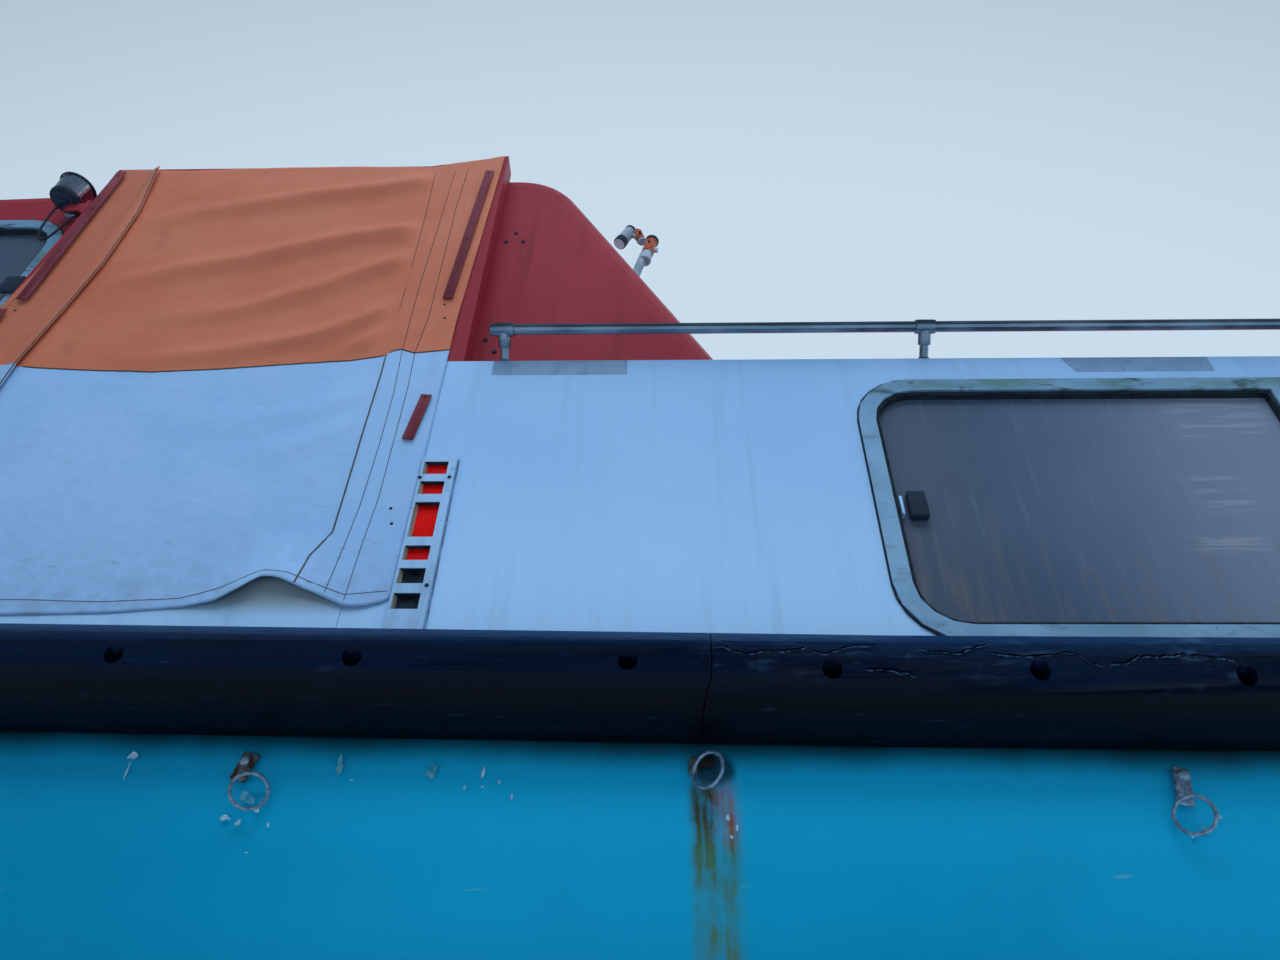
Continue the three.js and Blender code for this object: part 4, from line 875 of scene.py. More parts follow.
batten((0.011, 1.93), (0.04, 2.545), 0.024, (0.04, 0.42, 0.54, 0.97))
batten((-1.048, 1.935), (-1.038, 2.555), 0.028, (0.03, 0.34, 0.67, 0.96), over=0.008)
batten((-1.08, 1.3), (-1.077, 1.893), 0.025, (0.04, 0.5, 0.96), over=0.008)
batten((0.0025, 1.436), (0.02, 1.575), 0.024, (0.93,))
for x, z in ((0.006, 1.911), (0.015, 1.857), (0.004, 1.246), (0.013, 1.207), (-1.053, 1.901)):
    dome(canvas_point(x, z, on_flap(x, z) + 0.0004), 0.0034, 0.4, nail_steel)
both("curtain_battens")

# Windows. Alloy frames screwed over the openings, gone dull grey with green growth in places, bedded in
# black sealant; a rubber gasket holds each pane of hazed acrylic, and a black latch closes the slider.
alloy = finish("oxidised_window_alloy", Metallic=0.35, IOR=1.5)
chalky = between(pattern(7, detail=6), 0.35, 0.68)
top_band = between(place()[2], 1.52, 1.6, 0.3)
growth = between(pattern(12, (0.5, 1, 1), detail=6), 0.46, 0.66)
moss = between(pattern(30, (0.4, 1, 1), detail=6, warp=0.4), 0.55, 0.66)
pits = between(pattern(120, detail=4), 0.62, 0.74)
metal = layered(blended(chalky, "#90b6d3", "#a9cce6"),
    (product(top_band, 0.45), "#6f95a6"),
    (product(growth, product(top_band, 0.8)), "#6b8f7c"),
    (product(moss, product(top_band, 0.8)), "#35483a"),
    (product(pits, 0.6), "#43575c"))
coat(metal, between(chalky, 0, 1, 0.48, 0.66), product(pits, -1.0), 0.0004)
pane = finish("hazed_acrylic_pane", IOR=1.49, Specular_IOR_Level=0.45)
spot = place()
streaks = product(between(pattern(60, (1, 1, 0.04), detail=5), 0.46, 0.74),
    between(pattern(3, detail=3), 0.4, 0.62))
# Runs of brown dust have dried towards the foot.
runs = product(between(pattern(34, (1, 1, 0.1), detail=6, warp=0.3), 0.46, 0.66),
    between(spot[2], 0.98, 1.3, 0.55, 0.0))
glassy = layered(blended(between(pattern(1.8, detail=3), 0.35, 0.68), "#42536a", "#4f6077"),
    (between(spot[0], 1.0, 1.4, 0.45, 0.0), "#5a5c60"),
    (between(spot[0], 1.15, 1.8, 0.0, 0.9), "#8690a0"),
    (runs, "#7a6f66"),
    (product(streaks, 0.2), "#7c8592"))
# Pale smears, partly haze wiped by hands and partly painted glints of reflected light: ends, foot and head of
# each.
for x0, x1, z0, z1 in ((1.58, 1.84, 1.44, 1.6), (1.56, 1.72, 1.24, 1.36), (1.5, 1.7, 1.14, 1.195)):
    wide = product(between(spot[0], x0, x0 + 0.06), between(spot[0], x1 - 0.06, x1, 1.0, 0.0))
    high = product(between(spot[2], z0, z0 + 0.02), between(spot[2], z1 - 0.02, z1, 1.0, 0.0))
    wipes_and_glints = between(pattern(70, (0.1, 1, 1.3), detail=5), 0.44, 0.64)
    glassy = blended(product(wide, high, product(wipes_and_glints, 0.55)), glassy, "#a9a7ab")
coat(glassy, between(streaks, 0, 1, 0.22, 0.36))
sealant_and_shadow = finish("black_sealant_and_shadow", IOR=1.45)
beads = between(pattern(60, detail=4), 0.35, 0.65)
mottled(beads, "#10161c", "#24303a", 0.45, 0.7, beads, 0.0008)
# name, ends, foot, head, has a mullion, place of its plane, turn in degrees
WINDOWS = (
    ("fore_window", 0.951, 2.777, 0.936, 1.621, True, (0, -1.66, 0), 0.0),
    ("quarter_window", 0.11, 1.01, 1.015, 1.6, False, (2.9, -1.66, 0), 11.31),
    ("aft_window", -4.74, -3.1, 0.936, 1.621, True, (0, -1.66, 0), 0.0),
    ("helm_window", -2.72, -1.14, 1.79, 2.41, True, (0, -1.6, 0), 0.0))
CORNER, FRAME, MULLION, PANE_Y = 0.127, 0.036, 0.019, 0.015
GASKET, SCREW_PITCH = 0.008, 0.14
SCREEN_LEAN = atan2(0.423, 0.7997)


def rounded_ring(x0, x1, z0, z1, corner, band, front, back, material):
    """A flat ring round a rounded rectangle on the plane of x and z: bevelled corners, inset, extruded."""
    bpy.ops.mesh.primitive_plane_add(size=1, location=((x0 + x1) / 2, front, (z0 + z1) / 2), rotation=UPRIGHT)
    sized(x1 - x0, z1 - z0, 1)
    bevelled(corner, 6, "VERTICES")
    bpy.ops.object.mode_set(mode="EDIT")
    bpy.ops.mesh.select_all(action="SELECT")
    bpy.ops.mesh.inset(thickness=band)
    bpy.ops.mesh.delete(type="FACE")
    bpy.ops.object.mode_set(mode="OBJECT")
    thickened(back - front)
    return settle(material)


def eased_block(x0, x1, y0, y1, z0, z1, edge, material):
    """A box with rounded edges."""
    bpy.ops.mesh.primitive_cube_add(size=1, location=((x0 + x1) / 2, (y0 + y1) / 2, (z0 + z1) / 2))
    sized(x1 - x0, abs(y1 - y0), z1 - z0)
    bevelled(edge, 2)
    return settle(material)


latch_black = finish("black_latch_nylon", IOR=1.53)
coat(blended(pattern(90, detail=4), "#141b24", "#2b3a4c"), between(pattern(60, detail=3), 0.3, 0.7, 0.4, 0.6))


def window_trim(x0, x1, z0, z1, mullion, latched):
    """Sealant, gasket, screws and latch of one window, on its own plane."""
    outer, hole, back, mid = 0.003, FRAME + 0.0003, PANE_Y - 0.0003, (x0 + x1) / 2
    rounded_ring(x0 - outer, x1 + outer, z0 - outer, z1 + outer, CORNER + outer, 0.0028, -0.0035, -0.0002,
        sealant_and_shadow)
    gasket = rounded_ring(x0 + hole, x1 - hole, z0 + hole, z1 - hole, CORNER - FRAME, GASKET, -0.001, back,
        sealant_and_shadow)
    if mullion:
        # The gasket stops at the mullion, and a length stands up each side of it.
        half = MULLION + 0.0003
        bpy.ops.mesh.primitive_cube_add(size=1, location=(mid, 0, (z0 + z1) / 2))
        gap = sized(2 * half, 0.2, 2.0)
        activate(gasket)
        modified("BOOLEAN", object=gap, solver="EXACT")
        bpy.data.objects.remove(gap)
        for near in (mid - half - GASKET, mid + half):
            eased_block(near, near + GASKET, -0.001, back, z0 + hole + GASKET + 0.0001,
                z1 - hole - GASKET - 0.0001, 0.0008, sealant_and_shadow)
    # Screws all round the band, evenly spaced along it; the aft upright has them where the photograph does.
    low, high = x0 + CORNER, x1 - CORNER
    count = round((high - low) / SCREW_PITCH)
    heads = [(low + (high - low) * i / count, z)
        for z in (z0 + FRAME / 2, z1 - FRAME / 2) for i in range(count + 1)]
    for rise, inset in ((0.052, 0.034), (0.176, 0.012), (0.318, 0.012), (0.371, 0.012), (0.512, 0.012)):
        if z0 + rise < z1 - 0.05:
            heads += [(x0 + inset, z0 + rise), (x1 - inset, z0 + rise)]
    for x, z in heads:
        dome((x, -0.0002, z), 0.0034, 0.45, nail_steel)
    if latched:
        level, left = z0 + 0.291, x0 + 0.064
        eased_block(left, left + 0.036, -0.004, 0.0147, level, level + 0.064, 0.003, latch_black)
        eased_block(left - 0.016, left - 0.01, -0.0005, 0.0147, level + 0.007, level + 0.053, 0.001, white)
        # The frame's two halves meet on the aft upright in a dark joint.
        eased_block(x0 + 0.001, x0 + FRAME - 0.001, -0.0003, 0.002, z0 + 0.337, z0 + 0.342, 0.0001, sealant_and_shadow)


for name, x0, x1, z0, z1, mullion, origin, turn in WINDOWS:
    dress(alloy, f"{name}_frame_starboard", f"{name}_frame_port")
    dress(pane, f"{name}_pane_starboard", f"{name}_pane_port")
    window_trim(x0, x1, z0, z1, mullion, name != "helm_window")
    if name == "helm_window":
        eased_block(-1.196, -1.146, -0.02, -0.0065, 2.05, 2.113, 0.003, latch_black)
    trim = gathered(f"{name}_trim_starboard")
    trim.data.transform(Matrix.Translation(origin) @ Matrix.Rotation(radians(turn), 4, "Z"))
    mirrored(trim, f"{name}_trim_port")
dress(alloy, "windscreen_frame")
dress(pane, "windscreen_pane")
window_trim(-1.33, 1.33, 0.13, 0.8, True, False)
lean = Matrix.Rotation(radians(90), 4, "Z") @ Matrix.Rotation(-SCREEN_LEAN, 4, "X")
gathered("windscreen_trim").data.transform(Matrix.Translation((0.736, 0, 1.7003)) @ lean)

# Reflective tapes. Grey prismatic tape 48 mm wide, stuck in lengths of 300 mm or a little more along the
# top of the walls; one was cut at a slant.
tape = finish("prismatic_reflective_tape", IOR=1.5, Coat_Weight=0.5, Coat_Roughness=0.15)
cells = wire("ShaderNodeTexVoronoi", {"Vector": wire("ShaderNodeTexCoord").outputs["Object"],
    "Scale": 260.0}, feature="DISTANCE_TO_EDGE").outputs[0]
dust_and_shadow = between(pattern(20, detail=4), 0.35, 0.7)
grey = blended(dust_and_shadow, "#7d97b4", "#8aa3bd")
coat(blended(between(cells, 0.0, 0.12, 0.35, 0.0), grey, "#a5bccf"), between(dust_and_shadow, 0, 1, 0.25, 0.45))
# aft end, fore end, slant of the aft end
for x0, x1, slant in ((0.152, 0.457, 0.0), (1.43, 1.755, 0.022), (-4.56, -4.26, 0.0), (-3.56, -3.26, 0.0)):
    bpy.ops.mesh.primitive_plane_add(size=1, location=((x0 + x1) / 2, -1.6601, 1.675), rotation=UPRIGHT)
    for v in sized(x1 - x0, 0.048, 1).data.vertices:
        v.co.x += slant if v.co.x < (x0 + x1) / 2 and v.co.z < 1.675 else 0.0
    thickened(-0.0004)
    settle(tape)
both("reflective_tapes")

# Step strip. Behind its upper slots sits a bright red plate, behind the lower two a black one; screws hold
# it, and black sealant has been run down its fore edge.
strip_white = finish("weathered_strip_gelcoat", IOR=1.5, Specular_IOR_Level=0.3)
worn = between(pattern(30, (1, 1, 0.3), detail=6), 0.42, 0.7)
paint = blended(worn, "#a9cbe9", "#9bb9d3")
chipped = between(pattern(95, detail=5), 0.64, 0.7)
paint = blended(product(chipped, 0.8), paint, "#5d6f7e")
coat(paint, between(worn, 0, 1, 0.42, 0.6), chipped, 0.0004)
dress(strip_white, "step_strip_starboard", "step_strip_port")
signal_red = finish("signal_red_plate", IOR=1.5, Specular_IOR_Level=0.2)
coat(blended(between(pattern(40, detail=4), 0.4, 0.7), "#ff0a06", "#f00806"),
    between(pattern(70, detail=3), 0.3, 0.7, 0.4, 0.6))
# The sloped aft side of each slot, painted beige-grey as shade.
shaded_reveal = finish("shaded_slot_reveal", Roughness=0.8)
layers = between(pattern(90, (1, 1, 0.2), detail=5), 0.35, 0.65)
coat(blended(layers, "#a89f8b", "#857b68"))
SLOT_ENDS, STRIP_FACE, PLATE_FACE, RAMP = (0.0522, 0.1008), -1.6718, -1.6613, 0.005
for foot, height in ((1.0, 0.035), (1.057, 0.035), (1.111, 0.035), (1.167, 0.089), (1.277, 0.035),
        (1.332, 0.035)):
    low, high = foot + 0.0002, foot + height - 0.0002
    eased_block(*SLOT_ENDS, -1.6612, -1.6603, low, high, 0.0002, sealant_and_shadow if foot < 1.1 else signal_red)
    # The aft side of each slot slopes in to the plate, painted beige-grey as shade, and a thin black block
    # along its upper side is painted shadow.
    ramp = eased_block(SLOT_ENDS[0], SLOT_ENDS[0] + RAMP, STRIP_FACE, PLATE_FACE, low, high, 0.0002, shaded_reveal)
    for v in ramp.data.vertices:
        share = (v.co.x - SLOT_ENDS[0]) / RAMP
        sloped = STRIP_FACE + share * (PLATE_FACE - STRIP_FACE - 0.0004)
        v.co.y = min(v.co.y, PLATE_FACE) if v.co.y > -1.666 else sloped
    eased_block(SLOT_ENDS[0] + 0.0002, SLOT_ENDS[1], STRIP_FACE + 0.0005, PLATE_FACE, high - 0.0008, high,
        0.0002, sealant_and_shadow)
for x, z in ((0.109, 1.323), (0.109, 1.052), (0.0494, 1.322)):
    dome((x, -1.6726, z), 0.0042, 0.5, nail_steel, 12, 8)
aged = finish("aged_grey_sealant", Roughness=0.7)
coat(blended(between(pattern(45, detail=5), 0.42, 0.58), "#4c5a68", "#9dbad4"))
bead = eased_block(0.1172, 0.1184, -1.6625, -1.6602, 0.96, 1.383, 0.0004, aged)
for v in bead.data.vertices:
    v.co.x += 0.0009 * sin(v.co.z * 60) + 0.002 * (1.383 - v.co.z)
both("step_strip_fittings")

# Grab rails. Stainless tube 25 mm across on leaning stanchions, dulled by salt, joined by cast tees and
# closed by a domed cap at each end.
stainless = finish("salt_dulled_stainless", Metallic=1.0)
salt = between(pattern(24, (0.3, 1, 1), detail=6), 0.38, 0.7)
mottled(salt, "#73828f", "#9aa9b5", 0.26, 0.46, pattern(180, (0.2, 1, 1), detail=3), 0.0002)


def turned(start, end, radius, material, edge=0.0015, sides=24, end_radius=None):
    """A round bar between two points, with its rims bevelled."""
    start, end = Vector(start), Vector(end)
    axis = end - start
    bpy.ops.mesh.primitive_cone_add(vertices=sides, radius1=radius, radius2=end_radius or radius,
        depth=axis.length, location=(start + end) / 2, rotation=axis.to_track_quat("Z", "Y").to_euler())
    bar = bpy.context.object
    bpy.ops.object.mode_set(mode="EDIT")
    bpy.ops.mesh.select_all(action="DESELECT")
    bpy.ops.object.mode_set(mode="OBJECT")
    for face in bar.data.polygons:
        face.select = len(face.vertices) == sides
    bpy.ops.object.mode_set(mode="EDIT")
    bpy.ops.mesh.select_mode(type="FACE")
    bpy.ops.mesh.bevel(offset=edge, segments=2, affect="EDGES")
    bpy.ops.object.mode_set(mode="OBJECT")
    return settle(material)


def stacked(foot, way, *rows):
    """Round bars along one line: how far along it each starts and ends, then what turned() takes."""
    for low, high, *rest in rows:
        turned(foot + way * low, foot + way * high, *rest)


UP = Vector((0, 0, 1))
RAIL_Y, RAIL_Z = -1.707, 1.755
rails = {"fore": ((0.148, 2.89), (0.175, 1.13, 2.085, 2.86)), "aft": ((-4.85, -2.96), (-4.82, -3.9, -2.99))}
for name, (ends, posts) in rails.items():
    dress(stainless, f"grab_rail_{name}_starboard", f"grab_rail_{name}_port")
    for x in posts:
        turned((x - 0.023, RAIL_Y, RAIL_Z), (x + 0.023, RAIL_Y, RAIL_Z), 0.0163, stainless, 0.003)
        turned((x, RAIL_Y + 0.004, RAIL_Z - 0.003), (x, RAIL_Y + 0.033, RAIL_Z - 0.0245), 0.0142, stainless,
            0.002)
        turned((x, -1.645, 1.7006), (x, -1.645, 1.7075), 0.0149, stainless)
    for x, way in zip(ends, (-1, 1)):
        turned((x - way * 0.012, RAIL_Y, RAIL_Z), (x + way * 0.005, RAIL_Y, RAIL_Z), 0.0145, stainless, 0.004)
    both(f"rail_fittings_{name}")

# Side lamp. A chromed can turned mouth up on its bracket, closed below by a stepped black cap where its
# lead comes out; a hoop of black wire round the mouth holds the glass.
chrome = finish("polished_chrome", Metallic=1.0)
# The chrome is mottled bluish and pinkish white: painted reflection of the sky and the red wheelhouse.
coat(blended(between(pattern(30, detail=4), 0.4, 0.7), "#cfd2de", "#b4a7b6"),
    between(pattern(60, detail=5), 0.35, 0.75, 0.22, 0.4))
dress(chrome, "door_lamp_starboard", "door_lamp_port")
lamp_glass = finish("ribbed_lamp_glass", IOR=1.5, Roughness=0.12)
coat(blended(pattern(80), "#9fb0bb", "#d9e3e8"))
CAP, MOUTH = Vector((-1.159, -1.655, 2.436)), Vector((-1.15, -1.656, 2.495))
lamp_axis = (MOUTH - CAP).normalized()
stacked(CAP, lamp_axis, (0.004, -0.01, 0.0445, latch_black, 0.004, 36),
    (-0.009, -0.016, 0.033, latch_black, 0.003, 30), (-0.015, -0.022, 0.014, latch_black, 0.002, 20))
stacked(MOUTH, lamp_axis, (-0.0005, 0.003, 0.0445, lamp_glass, 0.001, 36))
for turn in (0.5, 2.6, 4.7):
    side = Vector((cos(turn), sin(turn), 0))
    stacked(CAP - lamp_axis * 0.0105 + side * 0.038, lamp_axis, (0.002, -0.004, 0.004, nail_steel, 0.001, 12))
bpy.ops.mesh.primitive_torus_add(major_radius=0.0505, minor_radius=0.0025, major_segments=48,
    minor_segments=10, location=MOUTH, rotation=lamp_axis.to_track_quat("Z", "Y").to_euler())
settle(latch_black)
both("lamp_fittings")

# Mast. Painted alloy tube on a slotted foot. Its head carries a grey searchlight can with a black rim, held
# by two clamps painted orange; a small clear lamp sits on the fore clamp.
mast_paint = finish("chalked_grey_mast_paint", IOR=1.5)
worn = between(pattern(16, (1, 1, 0.3), detail=6), 0.38, 0.7)
mottled(worn, "#7e8c97", "#a3b0b8", 0.4, 0.6, pattern(90, detail=4), 0.0004)
dress(mast_paint, "mast", "mast_foot")
clamp_orange = finish("scuffed_orange_clamp_paint", IOR=1.5)
scuffs = between(pattern(45, detail=6), 0.48, 0.66)
mottled(scuffs, "#b4532f", "#5b4742", 0.4, 0.7)
DRUM_LOW, DRUM_HIGH = Vector((0.29, 0, 4.762)), Vector((0.35, 0, 4.89))
drum = (DRUM_HIGH - DRUM_LOW).normalized()
CLAMP_LOW, CLAMP_HIGH = Vector((0.432, 0, 4.58)), Vector((0.474, 0, 4.78))
clamp = (CLAMP_HIGH - CLAMP_LOW).normalized()
stacked(DRUM_LOW, drum, (-0.006, 0.034, 0.0375, latch_black, 0.003, 30),
    (-0.009, -0.004, 0.031, lamp_glass, 0.001, 30))
stacked(DRUM_HIGH, drum, (-0.012, 0.004, 0.0365, latch_black, 0.003, 30))
turned((0.412, 0, 4.786), (0.386, 0, 4.872), 0.0285, clamp_orange, 0.004, 8)
turned(CLAMP_LOW + clamp * 0.075, CLAMP_HIGH - clamp * 0.012, 0.0365, clamp_orange, 0.004, 8)
stacked(CLAMP_HIGH, clamp, (-0.014, 0.008, 0.039, latch_black, 0.004))
stacked(CLAMP_LOW, clamp, (-0.002, 0.03, 0.0345, mast_paint, 0.003))
turned((0.48, 0, 4.69), (0.508, 0, 4.684), 0.016, lamp_glass, 0.005, 20)
for x, half, z in ((0.405, 0.046, 4.812), (0.459, 0.05, 4.715)):
    turned((x, -half, z), (x, half, z), 0.006, nail_steel, 0.0015, 12)
gathered("mast_head_fittings", "mast")
for way in (-1, 1):
    turned((-0.01, way * 0.058, 2.79), (-0.01, way * 0.068, 2.79), 0.019, stainless, 0.003, 6)
for x in (-0.063, 0.043):
    for y in (-0.044, 0.044):
        turned((x, y, 2.754), (x, y, 2.762), 0.009, stainless, 0.002, 6)
gathered("mast_foot_bolts")

# Canopy screws. Blackened screws are left beside the door where fittings once sat.
for x, z in ((0.108, 2.283), (0.131, 2.325), (0.155, 2.284), (0.105, 1.854), (0.132, 1.807)):
    turned((x, -1.5998, z), (x, -1.603, z), 0.0058, latch_black, 0.001, 12)
both("canopy_screws")

# Lamp brackets. A flat bar of red-painted steel runs from each side lamp to the door surround, on two bolts.
eased_block(-1.15, -1.088, -1.652, -1.646, 2.384, 2.422, 0.0012, red)
eased_block(-1.092, -1.081, -1.659, -1.64, 2.364, 2.424, 0.0015, red)
for z in (2.374, 2.414):
    turned((-1.09, -1.65, z), (-1.098, -1.65, z), 0.005, nail_steel, 0.001, 6)
both("lamp_bracket")

# Decks and inner moulding. Cream gelcoat, moulded with a non-skid pattern of 16 mm diamonds on what is
# walked on. Boots have greyed it.
non_skid = finish("non_skid_gelcoat", IOR=1.5, Specular_IOR_Level=0.35)
spot = place()
facing_up = wire("ShaderNodeSeparateXYZ",
    {0: wire("ShaderNodeNewGeometry").outputs["True Normal"]}).outputs[2]
DIAMOND = 2 * pi / 0.016
leaning = maths("SINE", product(maths("ADD", spot[0], spot[1]), DIAMOND), 0)
opposed = maths("SINE", product(maths("SUBTRACT", spot[0], spot[1]), DIAMOND), 0)
diamonds = product(between(product(leaning, opposed), 0.1, 0.5), between(facing_up, 0.7, 0.9))
trodden = between(pattern(2.4, detail=6), 0.38, 0.7)
cream = blended(trodden, "#d9d8cc", "#bdbcb0")
coat(blended(product(diamonds, 0.35), cream, "#a5a599"), between(trodden, 0, 1, 0.45, 0.65), diamonds, 0.001)
dress(non_skid, "deck", "inner_moulding")

# Mooring cleats. Two-horned cast cleats of stainless steel, a pair near each lifting post, on a base with
# two bolts.
for x, y in ((5.55, 0.34), (-5.6, 0.62)):
    eased_block(x - 0.075, x + 0.075, y - 0.024, y + 0.024, 0.9202, 0.929, 0.003, stainless)
    for lean in (-1, 1):
        turned((x + lean * 0.04, y, 0.926), (x + lean * 0.033, y, 0.972), 0.014, stainless, 0.002, 20,
            end_radius=0.011)
        turned((x, y, 0.978), (x + lean * 0.125, y, 0.99), 0.013, stainless, 0.003, 20, end_radius=0.0075)
        turned((x + lean * 0.062, y, 0.928), (x + lean * 0.062, y, 0.934), 0.007, stainless, 0.001, 6)
mirrored(gathered("mooring_cleats_port"), "mooring_cleats_starboard")

# Hatches. Each lid has a moulded panel on top, two strap hinges screwed along one edge and, along the
# other, a bent grab handle of stainless tube between two dogs.
for body, x, y, z, way in (("fore_hatch", 3.35, 0.0, 1.8853, 1), ("roof_hatch", -1.0, 0.64, 2.7753, -1)):
    for size, rise in ((0.5, 0.0045), (0.4, 0.0085)):
        eased_block(-size / 2, size / 2, -size / 2, size / 2, -0.001, rise, 0.004, red)
    for across in (-0.19, 0.19):
        eased_block(-0.325, -0.2, across - 0.02, across + 0.02, -0.0005, 0.0045, 0.0015, stainless)
        turned((-0.322, across - 0.03, 0.004), (-0.322, across + 0.03, 0.004), 0.0065, stainless, 0.001, 16)
        for along_strap in (-0.285, -0.225):
            turned((along_strap, across, 0.004), (along_strap, across, 0.0072), 0.0065, nail_steel, 0.001, 12)
        eased_block(0.255, 0.32, across * 1.2 - 0.014, across * 1.2 + 0.014, 0.001, 0.012, 0.003, stainless)
        turned((0.268, across * 1.2, 0.01), (0.268, across * 1.2, 0.024), 0.01, stainless, 0.002, 20)
    for across in (-0.06, 0.06):
        stacked(Vector((0.285, across, 0)), UP, (-0.0005, 0.04, 0.0065, stainless, 0.001, 16),
            (-0.0005, 0.003, 0.016, stainless, 0.001, 20))
    turned((0.285, -0.0665, 0.04), (0.285, 0.0665, 0.04), 0.0068, stainless, 0.003, 16)
    fitted = gathered(f"{body}_fittings", body)
    fitted.data.transform(Matrix.Translation((x, y, z)) @ Matrix.Rotation(0 if way > 0 else pi, 4, "Z"))

# Aft door. A flush door with a raised moulded panel, three barrel hinges down its port edge and, on the
# other, a lever handle on a round rose between two dogs.
AFT_FACE = -5.2323
eased_block(AFT_FACE - 0.006, AFT_FACE + 0.001, -0.245, 0.245, 1.02, 1.58, 0.0028, white)
eased_block(AFT_FACE - 0.01, AFT_FACE - 0.005, -0.205, 0.205, 1.06, 1.54, 0.0022, white)
for z in (1.04, 1.3, 1.56):
    turned((AFT_FACE - 0.007, 0.3035, z - 0.035), (AFT_FACE - 0.007, 0.3035, z + 0.035), 0.0065, stainless,
        0.001, 16)
    eased_block(AFT_FACE - 0.0045, AFT_FACE + 0.0005, 0.25, 0.3, z - 0.03, z + 0.03, 0.001, stainless)
turned((AFT_FACE + 0.0005, -0.275, 1.3), (AFT_FACE - 0.012, -0.275, 1.3), 0.024, stainless, 0.002, 28)
turned((AFT_FACE - 0.01, -0.275, 1.3), (AFT_FACE - 0.044, -0.275, 1.3), 0.009, stainless, 0.001, 20)
turned((AFT_FACE - 0.04, -0.283, 1.3), (AFT_FACE - 0.046, -0.15, 1.296), 0.009, stainless, 0.003, 20,
    end_radius=0.0075)
for z in (1.13, 1.47):
    turned((AFT_FACE + 0.0005, -0.278, z), (AFT_FACE - 0.014, -0.278, z), 0.011, stainless, 0.002, 20)
    eased_block(AFT_FACE - 0.018, AFT_FACE - 0.012, -0.29, -0.225, z - 0.01, z + 0.01, 0.002, stainless)
gathered("aft_door_fittings", "aft_door")

# Lifting hooks. Galvanised steel posts, bolted through the deck, each with a pinned hook that turns to let
# the tackle's link go. The pin is held by a nut on a washer.
dress(zinc, "hook_post_fore", "hook_post_aft", "hook_fore", "hook_aft")
BASE_Z, PIN_Z = 0.944, 1.18
for name, x in (("fore", 5.32), ("aft", -5.95)):
    for way_x in (-1, 1):
        for way_y in (-1, 1):
            stacked(Vector((x + way_x * 0.118, way_y * 0.088, BASE_Z)), UP, (0, 0.003, 0.019, zinc, 0.0008),
                (0.002, 0.016, 0.0145, zinc, 0.002, 6), (0.014, 0.026, 0.008, zinc, 0.001, 16))
    for way_y in (-1, 1):
        stacked(Vector((x, 0, PIN_Z)), Vector((0, way_y, 0)), (0.0595, 0.064, 0.034, zinc, 0.001, 28),
            (0.063, 0.082, 0.025, zinc, 0.003, 6))
    for way_x in (-1, 1):
        eased_block(x + way_x * 0.079, x + way_x * 0.089, -0.006, 0.006, 0.943, 1.06, 0.002, zinc)
    gathered(f"hook_post_fittings_{name}")

# Console. A moulded desk in black grained plastic. Its sloping panel carries four round gauges with bezels,
# a row of switches and the start key; a dome compass and the engine's lever stand beside them.
grained = finish("black_grained_plastic", IOR=1.5)
leather_grain = wire("ShaderNodeTexVoronoi", {"Vector": wire("ShaderNodeTexCoord").outputs["Object"],
    "Scale": 420.0}, feature="SMOOTH_F1").outputs[0]
wipes_and_glints = between(pattern(5, detail=5), 0.35, 0.7)
mottled(wipes_and_glints, "#1b1f23", "#2c3238", 0.5, 0.7, leather_grain, 0.0005)
dress(grained, "console")
dial_white = finish("printed_dial_face", IOR=1.5, Roughness=0.35)
coat(blended(pattern(60), "#d8dcdd", "#c7cccd"))
PANEL_FOOT, PANEL_HEAD = Vector((0.25, 0, 1.42)), Vector((0.42, 0, 1.56))
slope = (PANEL_HEAD - PANEL_FOOT).normalized()
out = Vector((-slope.z, 0, slope.x))
panel_middle = (PANEL_FOOT + PANEL_HEAD) / 2
TICK_TURN = 0.52
for y, radius in ((-0.365, 0.052), (-0.25, 0.052), (-0.135, 0.052), (-0.03, 0.042)):
    at = panel_middle + slope * 0.03 + Vector((0, y, 0))
    stacked(at, out, (0, 0.01, radius, stainless, 0.003, 36),
        (0.009, 0.0112, radius - 0.007, dial_white, 0.0005, 32))
    for turn in range(-4, 5):
        across = Vector((0, sin(turn * TICK_TURN) * (radius - 0.013), 0))
        tick = slope * cos(turn * TICK_TURN) * (radius - 0.013) + across
        stacked(at + tick, out, (0.011, 0.0116, 0.0018, latch_black, 0.0003, 8))
    needle = slope * cos(y * 9) + Vector((0, sin(y * 9), 0))
    turned(at + out * 0.0125 - needle * 0.008, at + out * 0.0125 + needle * (radius - 0.018), 0.0016,
        signal_red, 0.0004, 8)
    stacked(at, out, (0.011, 0.015, 0.006, latch_black, 0.001, 16))
for i in range(6):
    at = panel_middle - slope * 0.062 + Vector((0, -0.4 + i * 0.052, 0))
    turned(at, at + out * 0.004, 0.011, stainless, 0.001, 6)
    turned(at + out * 0.003, at + out * 0.022 + slope * 0.005, 0.0035, stainless, 0.001, 12,
        end_radius=0.0045)
key_at = panel_middle - slope * 0.06 + Vector((0, -0.03, 0))
stacked(key_at, out, (0, 0.008, 0.015, stainless, 0.002), (0.007, 0.03, 0.009, latch_black, 0.003, 6))
lever_at = panel_middle + Vector((0, 0.23, 0))
eased_block(0.255, 0.395, 0.19, 0.27, 1.47, 1.56, 0.01, grained)
turned(lever_at + Vector((0, 0, 0.04)), lever_at + Vector((-0.03, 0, 0.17)), 0.008, stainless, 0.001, 16)
turned(lever_at + Vector((-0.026, 0, 0.155)), lever_at + Vector((-0.04, 0, 0.215)), 0.018, signal_red, 0.007,
    end_radius=0.015)
turned((0.465, -0.25, 1.524), (0.465, -0.25, 1.56), 0.058, grained, 0.005, 36, end_radius=0.05)
